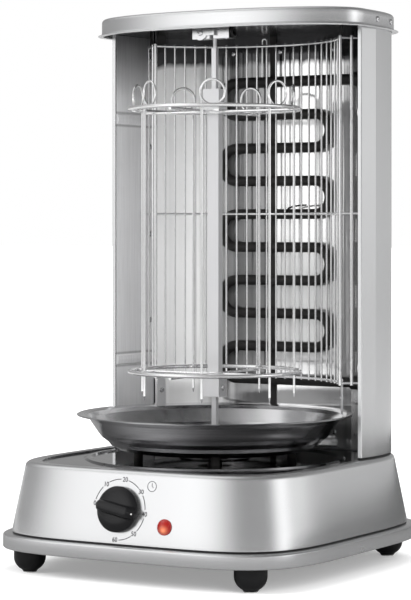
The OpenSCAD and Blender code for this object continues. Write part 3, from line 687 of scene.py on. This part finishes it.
def ringSegment(radius, line, start, end, steps):
    # A thin flat arc of the print, between two angles in degrees.
    corners, faces = [], []
    for step in range(steps + 1):
        angle = radians(start + (end - start) * step / steps)
        for reach in (radius - line / 2, radius + line / 2):
            for out in (0.01, dial["thick"]):
                corners.append((reach * cos(angle), reach * sin(angle), out))
    for step in range(steps):
        a = step * 4
        faces += [(a, a + 2, a + 6, a + 4), (a + 1, a + 5, a + 7, a + 3), (a, a + 4, a + 5, a + 1),
                  (a + 2, a + 3, a + 7, a + 6)]
    last = steps * 4
    faces += [(0, 1, 3, 2), (last, last + 2, last + 3, last + 1)]
    return corners, faces


def barShape(start, end, width):
    # A thin flat bar between two points of the print.
    along = (Vector(end) - Vector(start)).normalized()
    beside = Vector((-along.y, along.x)) * width / 2
    outline = [Vector(start) - beside, Vector(end) - beside, Vector(end) + beside, Vector(start) + beside]
    corners = [(p.x, p.y, out) for out in (0.01, dial["thick"]) for p in outline]
    faces = [(3, 2, 1, 0), (4, 5, 6, 7), (0, 1, 5, 4), (1, 2, 6, 5), (2, 3, 7, 6), (3, 0, 4, 7)]
    return corners, faces


def letterShape(text, height):
    # Solid numerals, centred, turned into a mesh before they are placed.
    data = bpy.data.curves.new("numeral", "FONT")
    data.body = text
    data.size = height * dial["letterSize"]
    data.extrude = dial["thick"] / 2
    data.offset = dial["letterBold"]
    data.align_x = "CENTER"
    data.align_y = "CENTER"
    data.resolution_u = 3
    letter = addObject("numeral", data)
    mesh = bpy.data.meshes.new_from_object(
        letter.evaluated_get(bpy.context.evaluated_depsgraph_get()))
    corners = [tuple(vertex.co) for vertex in mesh.vertices]
    faces = [tuple(face.vertices) for face in mesh.polygons]
    bpy.data.objects.remove(letter)
    bpy.data.meshes.remove(mesh)
    return [(x * dial["letterWide"], y, z + dial["thick"] / 2) for x, y, z in corners], faces


def gather(shapes):
    # Joins (corners, faces) pairs into one.
    corners, faces = [], []
    for moreCorners, moreFaces in shapes:
        start = len(corners)
        corners += moreCorners
        faces += [tuple(start + index for index in face) for face in moreFaces]
    return corners, faces


def frontPrint(name, x, z, shapes):
    shape = moved(gather(shapes), lambda corner: frontPoint(x, z, *corner))
    meshPiece(name, shape, "ink", "frame")


def makeDial():
    # Numerals with arcs between them, and a small clock beside them.
    shapes = []
    for index, mark in enumerate(dial["marks"]):
        angle = radians(dial["first"] - dial["step"] * index)
        corners, faces = letterShape(mark, dial["height"])
        across, up = dial["radius"] * cos(angle), dial["radius"] * sin(angle)
        shapes.append(([(x + across, y + up, z) for x, y, z in corners], faces))
        if index:
            start = dial["first"] - dial["step"] * index + dial["gap"]
            shapes.append(ringSegment(dial["radius"], dial["line"], start,
                                      start + dial["step"] - 2 * dial["gap"] + 1, 20))
    frontPrint("dial_print", dial["x"], dial["z"], shapes)
    line = dial["clockLine"]
    frontPrint("clock_print", dial["clockX"], dial["clockZ"],
               [ringSegment(dial["clockRadius"], line, 0, 359.99, 48), barShape((0, 0.2), (0, 3.1), line),
                barShape((0.2, 0.1), (1.6, -1.1), line)])


knob = {"radius": 21.5, "height": 15, "barHalf": 4.2, "barEdge": 1.9, "barStart": -14.5,
        "barEnd": 17.5, "angle": -10.6, "dotOut": 20.2, "dotRadius": 0.75, "skirt": 8.4,
        "skirtFall": 3.2, "crestEnd": 16.5, "crestFall": 1.1, "crown": 0.035, "steps": 192}


def smoothStep(low, high, value):
    share = min(max((value - low) / (high - low), 0), 1)
    return share * share * (3 - 2 * share)


def knobHeight(u, v):
    # A low skirt with a raised bar across it.
    away = hypot(u, v)
    skirt = knob["skirt"] - knob["skirtFall"] * (away / knob["radius"]) ** 4
    along = min(max(u, knob["barStart"]), knob["barEnd"])
    beside = hypot(u - along, v)
    fall = (away - knob["crestEnd"]) * knob["crestFall"]
    crest = min(knob["height"], knob["height"] - fall) - knob["crown"] * v * v
    share = 1 - smoothStep(knob["barHalf"], knob["barHalf"] + knob["barEdge"], beside)
    return skirt + (crest - skirt) * share


def makeKnob():
    place = frontTurn(dial["x"], dial["z"])
    turn = radians(knob["angle"])
    radius, count = knob["radius"], knob["steps"]
    reaches = [radius * share for share in (0.004, 0.03)] + [radius * k / 64 for k in range(3, 62)]
    reaches += [radius - 0.75, radius - 0.35, radius - 0.1]
    rings = [[(reach, knobHeight(reach * cos(angle), reach * sin(angle))) for angle in
              (2 * pi * k / count for k in range(count))] for reach in reaches]
    rings.append([(radius, max(height - 0.4, 5)) for _, height in rings[-1]])
    for reach, height in ((radius, 3), (radius, 1.0), (radius - 0.4, 0.6), (4, 0.6)):
        rings.append([(reach, height)] * count)
    corners = []
    for ring in rings:
        for k, (reach, height) in enumerate(ring):
            angle = 2 * pi * k / count + turn
            corners.append(place((reach * cos(angle), reach * sin(angle), height)))
    faces = loopFaces(len(rings), count, capLow=True, capHigh=True)
    piece = meshPiece("knob_cap", (corners, faces), "knob", "timer", 50)
    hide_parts("timer_knob")
    out, dot = knob["dotOut"], knob["dotRadius"]
    height = knobHeight(out, 0.0)
    corners, faces = lathe([(dot, height - 0.6), (dot, height + 0.08), (dot - 0.2, height + 0.16)], 20)
    turned = [place(((x + out) * cos(turn) - y * sin(turn),
                     (x + out) * sin(turn) + y * cos(turn), z)) for x, y, z in corners]
    meshPiece("knob_mark", (turned, faces), "dot", "timer")


lamp = {"x": 46.8, "z": 57, "radius": 7.5, "facets": 12}


def makeLamp():
    # A bezel and a faceted dome, whose rings are half a facet out of step where they slope.
    place = frontTurn(lamp["x"], lamp["z"])
    radius = lamp["radius"]
    bezel = lathe([(radius - 1.2, 0.05), (radius, 0.1), (radius, 0.9), (radius - 0.35, 1.3),
                   (radius - 1.2, 1.35)], 64)
    meshPiece("lamp_bezel", moved(bezel, place), "lens", "frame", 40)
    rings = [(radius - 0.9, 1.2, 0), (radius - 0.9, 1.9, 0), (radius * 0.76, 3.3, 0.5),
             (radius * 0.52, 4.5, 0), (radius * 0.26, 5.3, 0.5), (radius * 0.08, 5.6, 0)]
    count = lamp["facets"]
    corners = [corner for reach, height, shift in rings
               for corner in circle(reach, height, count, shift)]
    faces = []
    for ring in range(len(rings) - 1):
        ahead = rings[ring][2] < rings[ring + 1][2]
        for k in range(count):
            a, b = ring * count + k, ring * count + (k + 1) % count
            c, d = a + count, b + count
            if rings[ring][2] == rings[ring + 1][2]:
                faces.append((a, b, d, c))
            elif ahead:
                faces += [(a, b, c), (b, d, c)]
            else:
                faces += [(a, b, d), (a, d, c)]
    faces += [tuple(range(count - 1, -1, -1)), tuple((len(rings) - 1) * count + k for k in range(count))]
    piece = meshPiece("lamp_dome", moved((corners, faces), place), "lens", "frame", 4)
    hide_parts("lamp_lens")


makeDial()
makeKnob()
makeLamp()
print("grill: dial, knob and lamp made")


# Shapes that stand in many places: a template is set on points by Geometry Nodes.
def spreadPiece(name, template, places, look, body, slotName, smooth=40):
    # Each place is a point, the way the shape faces, and its turn about that way.
    points = bpy.data.meshes.new(name)
    points.from_pydata([[part * mm for part in place] for place, facing, turn in places], [], [])
    points.attributes.new("facing", "FLOAT_VECTOR", "POINT")
    points.attributes.new("turn", "FLOAT", "POINT")
    for index, (place, facing, turn) in enumerate(places):
        points.attributes["facing"].data[index].vector = facing
        points.attributes["turn"].data[index].value = turn
    model = addObject(name + "_model", template)
    grower = Grower(name, Size=1.0)
    shape = grower.node("GeometryNodeObjectInfo", None, out=4, Object=model)
    spin = grower.node("FunctionNodeAxisAngleToRotation", None, Axis=(0, 0, 1),
                       Angle=grower.attribute("turn"))
    facing = grower.node("FunctionNodeAlignRotationToVector", {"axis": "Z"},
                         Vector=grower.attribute("facing", "FLOAT_VECTOR"))
    turned = grower.node("FunctionNodeRotateRotation", {"rotation_space": "LOCAL"}, facing, spin)
    spread = grower.node("GeometryNodeInstanceOnPoints", None, Points=grower.given(),
                         Instance=shape, Rotation=turned, Scale=grower.given("Size"))
    piece = grower.build(name, points, spread, look, body, slotName, smooth)
    bpy.data.objects.remove(model)
    return piece


def headMesh(radius, height):
    # A pan head with a cross pressed into it.
    count = 32
    reaches = [radius * share for share in (0.02, 0.08, 0.14, 0.2, 0.27, 0.34, 0.42, 0.5, 0.58, 0.68,
                                            0.8, 0.9, 0.97)]
    corners = []
    for reach in reaches:
        level = height * (1 - 0.62 * (reach / radius) ** 2.6)
        for x, y, z in circle(reach, level, count):
            near, far = sorted((abs(x), abs(y)))
            pressed = near < radius * 0.13 and far < radius * 0.55
            corners.append((x, y, z - (height * 0.55 if pressed else 0)))
    corners += circle(radius, height * 0.3, count) + circle(radius, 0.0, count)
    faces = loopFaces(len(reaches) + 2, count, capLow=True, capHigh=True)
    return plainMesh("screw_head", (corners, faces), 35)


# Where the screws stand: shares are of the height from the base's top to the ceiling.
screws = {"linerX": 137.5, "linerBack": 107.0, "linerTurn": 3.5, "linerInset": 0.8, "linerAhead": 6.0,
          "linerShares": (0.303, 0.516, 0.732, 0.948), "roofAlong": (26, 60), "roofHeight": 537,
          "coverX": 74.8, "coverY": 162.5, "postRadius": 125.4, "postAngle": 57, "postHeight": 163.5,
          "sheetY": 143.2, "sheet": ((-3.6, 516, 0.5), (60, 516, 1.1), (-60, 516, 0.1), (60, 122, 0.8),
                                     (-60, 122, 0.6)),
          "hubX": 9, "hubs": ((174.25, 0.3), (459.75, 1.0)), "latch": (-12, -5.2, 525.75)}


def linerHeads():
    # The side sheets stand a little turned, so their screws face along the turn.
    reach = cabinet["ceiling"] - base["top"]
    heads = []
    for side in (-1, 1):
        turn = side * radians(screws["linerTurn"])
        inward, back = -side * screws["linerInset"], -screws["linerAhead"]
        across = side * screws["linerX"] + inward * cos(turn) - back * sin(turn)
        along = screws["linerBack"] + inward * sin(turn) + back * cos(turn)
        facing = (-side * cos(turn), -side * sin(turn), 0)
        for index, share in enumerate(screws["linerShares"]):
            heads.append(((across, along, base["top"] + reach * share), facing, 0.4 + index * 1.1))
    return heads


def roofHeads():
    # On the roof's side bands, square to their curve.
    half, back = cabinet["half"] + cabinet["roofOut"], cabinet["back"] + cabinet["roofOut"]
    power = cabinet["power"]
    heads = []
    for side in (-1, 1):
        for along in screws["roofAlong"]:
            left = 1 - (along / back) ** power
            turn = atan(half / back * (along / back) ** (power - 1) * left ** (1 / power - 1))
            across = side * (half * left ** (1 / power) + 0.1)
            heads.append(((across, cabinet["front"] + along, screws["roofHeight"]),
                          (side * cos(turn), sin(turn), 0), 0.2 * along))
    return heads


def sheetHeads():
    # On the guard's posts and on the sheet behind the heater.
    angle = radians(screws["postAngle"])
    posts = [((*aroundAxis(screws["postRadius"], side * angle), screws["postHeight"]),
              (-side * sin(angle), -cos(angle), 0), turn)
             for side, turn in ((-1, 0.3), (1, 0.9))]
    return posts + [((x, screws["sheetY"], z), (0, -1, 0), turn) for x, z, turn in screws["sheet"]]


def makeScrews():
    template = headMesh(3.0, 1.6)
    under = [((x * screws["coverX"], y * screws["coverY"], base["rimLow"]), (0, 0, -1), x + y)
             for x in (-1, 1) for y in (-1, 1)]
    hubs = [((screws["hubX"], axisY, z), (1, 0, 0), turn) for z, turn in screws["hubs"]]
    for name, head, places, body, nodes in (
            ("pan_screws", template, linerHeads() + roofHeads(), "frame", ("liner_screws", "roof_screws")),
            ("cover_pan_screws", template, under, "frame", ("cover_screws",)),
            ("sheet_screws", headMesh(2.6, 1.3), sheetHeads(), "frame", ()),
            ("hub_pan_screws", template, hubs, "carousel", ("hub_screws",)),
            ("latch_pan_screw", headMesh(3.2, 1.2), [(screws["latch"], (0, -1, 0), 0.6)], "frame",
             ("latch_screw",))):
        piece = spreadPiece(name, head, places, "zinc", body, "zinc")
        if nodes:
            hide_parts(*nodes)


foot = {"radius": 15.5, "height": 23, "x": 123, "y": 139, "pad": 6.6, "ball": 14.0, "ballMiddle": 14.6}


def makeFeet():
    # A rubber ball cut flat where it takes its pale pad, and straight above its middle.
    radius = foot["radius"]
    profile = [(foot["pad"] - 0.4, 1.0), (foot["pad"] + 0.2, 1.0)]
    for degrees in range(-60, 1, 10):
        angle = radians(degrees)
        profile.append((radius * cos(angle), foot["ballMiddle"] + foot["ball"] * sin(angle)))
    profile += [(radius, foot["height"])]
    ball = plainMesh("foot_ball", lathe(profile, 48))
    pad = plainMesh("foot_pad", lathe([(foot["pad"] - 0.3, 0.0), (foot["pad"], 0.3),
                                       (foot["pad"], 0.98)], 40))
    places = [((x * foot["x"], y * foot["y"], 0), (0, 0, 1), 0.0) for x in (-1, 1) for y in (-1, 1)]
    balls = spreadPiece("rubber_feet", ball, places, "rubber", "frame", "foot_rubber")
    spreadPiece("foot_pads", pad, places, "felt", "frame", "foot_rubber")
    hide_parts("feet")


makeScrews()
makeFeet()
print("grill: screws and feet spread by Geometry Nodes")


guard = {"radius": 124.0, "half": 60.5, "pitch": 10.9, "low": 178.0, "high": 521.0, "wire": 1.0,
         "cross": 1.3, "thick": 1.7, "wingX": 133.5, "wingY": 90.0, "over": 2.0, "nugget": 1.75}


def makeGuard():
    # The plan of the level wires, and a point wherever an upright wire stands.
    radius, half = guard["radius"], radians(guard["half"])
    bend = aroundAxis(radius, half)
    arc = [aroundAxis(radius, half * k / 40) for k in range(-40, 41)]
    plan = [(-guard["wingX"], guard["wingY"])] + arc + [(guard["wingX"], guard["wingY"])]
    edges = [(k, k + 1) for k in range(len(plan) - 1)]
    gaps = round(2 * half * radius / guard["pitch"])
    stands = [(*aroundAxis(radius, half * (2 * k / gaps - 1)), guard["wire"]) for k in range(1, gaps)]
    for side in (-1, 1):
        for share, thick in ((0.0, guard["thick"]), (0.33, guard["thick"]), (0.86, guard["wire"])):
            stands.append((side * (bend[0] + (guard["wingX"] - bend[0]) * share),
                           bend[1] + (guard["wingY"] - bend[1]) * share, thick))
    mesh = bpy.data.meshes.new("guard_plan")
    mesh.from_pydata([(x * mm, y * mm, 0) for x, y in plan] + [(x * mm, y * mm, 0) for x, y, _ in stands],
                     edges, [])
    sizes = mesh.attributes.new("wireSize", "FLOAT", "POINT")
    for index, (x, y, thick) in enumerate(stands):
        sizes.data[len(plan) + index].value = thick * mm
    grower = Grower("guard_wires", Low=guard["low"] * mm, High=guard["high"] * mm,
                    Overhang=guard["over"] * mm, Cross=guard["cross"] * mm, Nugget=guard["nugget"] * mm)
    low, high = grower.given("Low"), grower.given("High")
    middle = (low + high) * 0.5 - 0.003
    lines = grower.node("GeometryNodeMeshToCurve", None, Mesh=grower.given())
    section = grower.node("GeometryNodeCurvePrimitiveCircle", None, Resolution=12,
                          Radius=grower.given("Cross"))
    level = grower.node("GeometryNodeCurveToMesh", None, Curve=lines, Profile_Curve=section,
                        Fill_Caps=True)
    size = grower.attribute("wireSize")
    reach = high - low + grower.given("Overhang") * 2
    rod = grower.node("GeometryNodeMeshCylinder", None, Vertices=12, Radius=1.0, Depth=reach)
    uprights = grower.node("GeometryNodeInstanceOnPoints", None, Points=grower.given(), Selection=size,
                           Instance=rod, Scale=grower.vector(size, size, 1.0))
    weld = grower.node("GeometryNodeMeshIcoSphere", None, Radius=grower.given("Nugget"), Subdivisions=2)
    welds = grower.node("GeometryNodeInstanceOnPoints", None, Points=grower.given(), Selection=size,
                        Instance=weld)
    parts = [grower.raised(uprights, (low + high) * 0.5)]
    for height in (low, middle, high):
        parts += [grower.raised(level, height), grower.raised(welds, height)]
    piece = grower.build("guard_wires", mesh, grower.together(*parts), "wire", "frame", "wire_steel")
    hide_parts("wire_guard")


hanger = {"x": -14.2, "half": 2.7, "wire": 0.9, "low": 489.0, "high": 526.0, "y": 128.9}
tie = {"radius": 126.2, "wire": 0.9, "path": ((5.0, 344.5), (5.2, 349.5), (6.4, 352.5), (9.0, 354.2),
                                              (12.5, 355.2), (17.2, 355.6))}  # degrees, height
tab = {"x": 124.6, "y": 82.5, "z": 524.3, "width": 9, "height": 15.4, "thick": 1.0, "corner": 1.5}


def roundedPath(points, radius, steps=6):
    # A path whose inner corners are turned by arcs.
    path = [Vector(points[0])]
    for before, corner, after in zip(points, points[1:], points[2:]):
        before, corner, after = Vector(before), Vector(corner), Vector(after)
        inward, outward = (before - corner).normalized(), (after - corner).normalized()
        for step in range(steps + 1):
            share = step / steps
            path.append(corner + inward * radius * (1 - share) ** 2 + outward * radius * share ** 2)
    path.append(Vector(points[-1]))
    return path


def tabPlate(place, across, up, width, height, thick, corner):
    # A pressed tab: rounded corners, standing on a place, facing across x up.
    across, up = Vector(across).normalized(), Vector(up).normalized()
    out = across.cross(up)
    outline = []
    for cx, cy, start in ((1, 1, 0), (-1, 1, 90), (-1, -1, 180), (1, -1, 270)):
        for step in range(6):
            angle = radians(start + 18 * step)
            outline.append((cx * (width / 2 - corner) + corner * cos(angle),
                            cy * (height / 2 - corner) + corner * sin(angle)))
    corners = []
    for inset, level in ((0.15, 0), (0, 0.15), (0, thick - 0.15), (0.15, thick)):
        for u, v in outline:
            shrink = 1 - inset / max(hypot(u, v), 0.01)
            corners.append(tuple(Vector(place) + across * u * shrink + up * v * shrink + out * level))
    return corners, loopFaces(4, len(outline), capLow=True, capHigh=True)


def makeHangers():
    # A bent wire that carries the heater's top run, the tie on the middle wire, and two dark tabs.
    middle, half, y, high = hanger["x"], hanger["half"], hanger["y"], hanger["high"]
    path = [(middle - half, y, hanger["low"]), (middle - half, y, high)]
    for step in range(1, 12):
        angle = radians(180 - 15 * step)
        path.append((middle + half * cos(angle), y, high + half * sin(angle)))
    path += [(middle + half, y, high), (middle + half, y, hanger["low"])]
    meshPiece("heater_hanger", tube(path, hanger["wire"]), "wire", "frame", 40)
    path = [(*aroundAxis(tie["radius"], radians(angle)), z) for angle, z in tie["path"]]
    meshPiece("guard_tie", tube(roundedPath(path, 1.0, 4), tie["wire"], 10), "knob", "frame",
              50)
    tabs = [tabPlate((side * tab["x"], tab["y"], tab["z"]), (side * 0.72, 0.69, 0), (0, 0, 1),
                     tab["width"], tab["height"], tab["thick"], tab["corner"]) for side in (-1, 1)]
    meshPiece("guard_tabs", gather(tabs), "heater", "frame", 40)


bearing = {"washerX": 20.2, "z": 525.75, "radius": 4.2, "wire": 1.3, "steps": 28}


def makeBearing():
    # A rubber ring beside the bearing bar.
    path = [(bearing["washerX"] + bearing["wire"], axisY + y, bearing["z"] + z)
            for y, z, _ in circle(bearing["radius"], 0, bearing["steps"])]
    meshPiece("bearing_washer", tube(path, bearing["wire"], 12, True), "rubber", "frame",
              60)


makeGuard()
makeHangers()
makeBearing()
print("grill: guard, hanger and bearing made")


# Camera: fitted to the photograph, a long lens level with the carousel's middle.
view = {"place": (1.1765, -1.9723, 0.334), "azimuth": 31.0, "lens": 139.1, "shift": -0.1233}


def makeCamera():
    data = bpy.data.cameras.new("camera")
    data.sensor_width = 36
    data.lens = view["lens"]
    data.shift_y = view["shift"]
    data.clip_start, data.clip_end = 0.05, 80
    camera = addObject("camera", data)
    turn = radians(view["azimuth"])
    forward = Vector((-sin(turn), cos(turn), 0))
    camera.rotation_euler = forward.to_track_quat("-Z", "Y").to_euler()
    camera.location = view["place"]
    scene.camera = camera


softLamps = {"key": {"place": (-1.3, -1.9, 1.6), "aim": (0, 0, 0.25), "size": (1.4, 1.4), "power": 48},
             "fill": {"place": (1.9, -1.2, 1.2), "aim": (0, 0, 0.25), "size": (1.2, 1.6), "power": 46},
             "top": {"place": (0.1, 0.3, 2.2), "aim": (0, 0, 0.2), "size": (1.6, 1.6), "power": 14}}


def makeSoftLamp(name, place, aim, size, power):
    data = bpy.data.lights.new(name, "AREA")
    data.shape = "RECTANGLE"
    data.size, data.size_y = size
    data.energy = power
    light = addObject(name, data)
    light.location = place
    light.rotation_euler = (Vector(aim) - Vector(place)).to_track_quat("-Z", "Y").to_euler()
    light.visible_glossy = False


def stageSheet(name, corners, material):
    mesh = bpy.data.meshes.new(name)
    mesh.from_pydata(corners, [], [(0, 1, 2, 3)])
    mesh.materials.append(material)
    sheet = addObject(name, mesh)
    return sheet


floorLook = {"reach": 30, "glow": 0.3, "far": 0.75, "near": 0.3, "away": 0.97, "start": 0.5,
             "end": 1.5}


def makeFloor():
    # White paper: what the camera sees of it is lifted, and the shadow stays; what metal sees of it is
    # painted dark near the object, a painted shade in its reflections.
    paint = Paint("pale_floor")
    grain = paint.noise(3, 2.0)
    white = paint.blendColours(grain, (0.86, 0.86, 0.86), (0.88, 0.88, 0.88))
    glossy, camera, through = paint.rays("Glossy", "Camera", "Transmission")
    away = paint.node("ShaderNodeVectorMath", {"operation": "LENGTH"}, paint.here(), out=1)
    beyond = paint.remap(away, 0.0, 1.0, floorLook["start"], floorLook["end"])
    dim = paint.remap(beyond, floorLook["near"], floorLook["away"])
    # Painted shade for glossy rays: near the object the floor is mixed towards black.
    colour = paint.blendColours(glossy * (1 - dim), white, (0.0, 0.0, 0.0))
    glow = camera.atLeast(through) * (floorLook["glow"] + beyond * floorLook["far"])
    reach = floorLook["reach"]
    stageSheet("floor", [(-reach, -reach, 0), (reach, -reach, 0), (reach, reach, 0), (-reach, reach, 0)],
               paint.surface(Base_Color=colour, Roughness=0.9, Specular_IOR_Level=0.05,
                             Emission_Color=(1, 1, 1), Emission_Strength=glow))


card = {"middle": (0.40, 0.40, 0), "along": (0.85, -0.52, 0), "half": 0.55, "height": 0.085,
        "tones": ((0.10, 0.10, 0.10), (0.14, 0.14, 0.14))}


def makeCard():
    # A low dark card beside the base, seen only by shiny surfaces, that shades its right side.
    paint = Paint("dark_card")
    tone = paint.blendColours(paint.noise(5, 2.0), *card["tones"])
    middle, across = Vector(card["middle"]), Vector(card["along"]) * card["half"]
    up = Vector((0, 0, card["height"]))
    sheet = stageSheet("card", [middle - across, middle + across, middle + across + up,
                                middle - across + up],
                       paint.surface(Base_Color=tone, Roughness=0.9, Specular_IOR_Level=0.0))
    sheet.visible_camera = sheet.visible_diffuse = sheet.visible_shadow = False


# Each lobe is the way it lies, its sharpness and its strength; the paper also has a flatness.
studio = {"plain": 0.33, "above": 0.35, "diffuse": 0.65,
          "lobes": [((-0.40, -0.90, 0.2), 8, 1.3), ((0.965, 0.24, 0.12), 22, 1.5),
                    ((0.74, 0.67, 0.0), 60, 0.9), ((-0.5, -0.15, 0.85), 8, 1.1)],
          "paper": ((0.4, 0.92, 0), 2, 0.38, 9)}


def makeWorld():
    # Metal sees a plain room with soft lights in front, to the right and above, and white paper
    # behind; the camera sees white, and other rays get one even level.
    world = bpy.data.worlds.new("studio")
    scene.world = world
    world.use_nodes = True
    tree = world.node_tree
    tree.nodes.clear()
    sky = NodeTree(tree)
    glossy, camera, through = sky.rays("Glossy", "Camera", "Transmission")
    direction = sky.node("ShaderNodeTexCoord", out=0)

    def lobe(towards, sharpness):
        unit = tuple(Vector(towards).normalized())
        facing = sky.node("ShaderNodeVectorMath", {"operation": "DOT_PRODUCT"}, direction, unit, out=1)
        return facing.atLeast(0.0) ** sharpness

    height = sky.part(direction, "Z")
    level = sky.remap(height, studio["plain"], studio["plain"] * studio["above"], 0.1, 0.9)
    for towards, sharpness, strength in studio["lobes"]:
        level = level + lobe(towards, sharpness) * strength
    towards, spread, strength, flatness = studio["paper"]
    level = level + lobe(towards, spread) * strength * (1 - abs(height)) ** flatness
    plain = glossy * level + (1 - glossy) * studio["diffuse"]
    background = sky.node("ShaderNodeBackground", None, (1, 1, 1),
                          camera.atLeast(through).atLeast(plain))
    output = tree.nodes.new("ShaderNodeOutputWorld")
    tree.links.new(background.socket, output.inputs[0])


makeCamera()
makeFloor()
makeCard()
makeWorld()
for name, settings in softLamps.items():
    makeSoftLamp(name, **settings)
scene.view_settings.view_transform = "Standard"
print("grill: stage set")
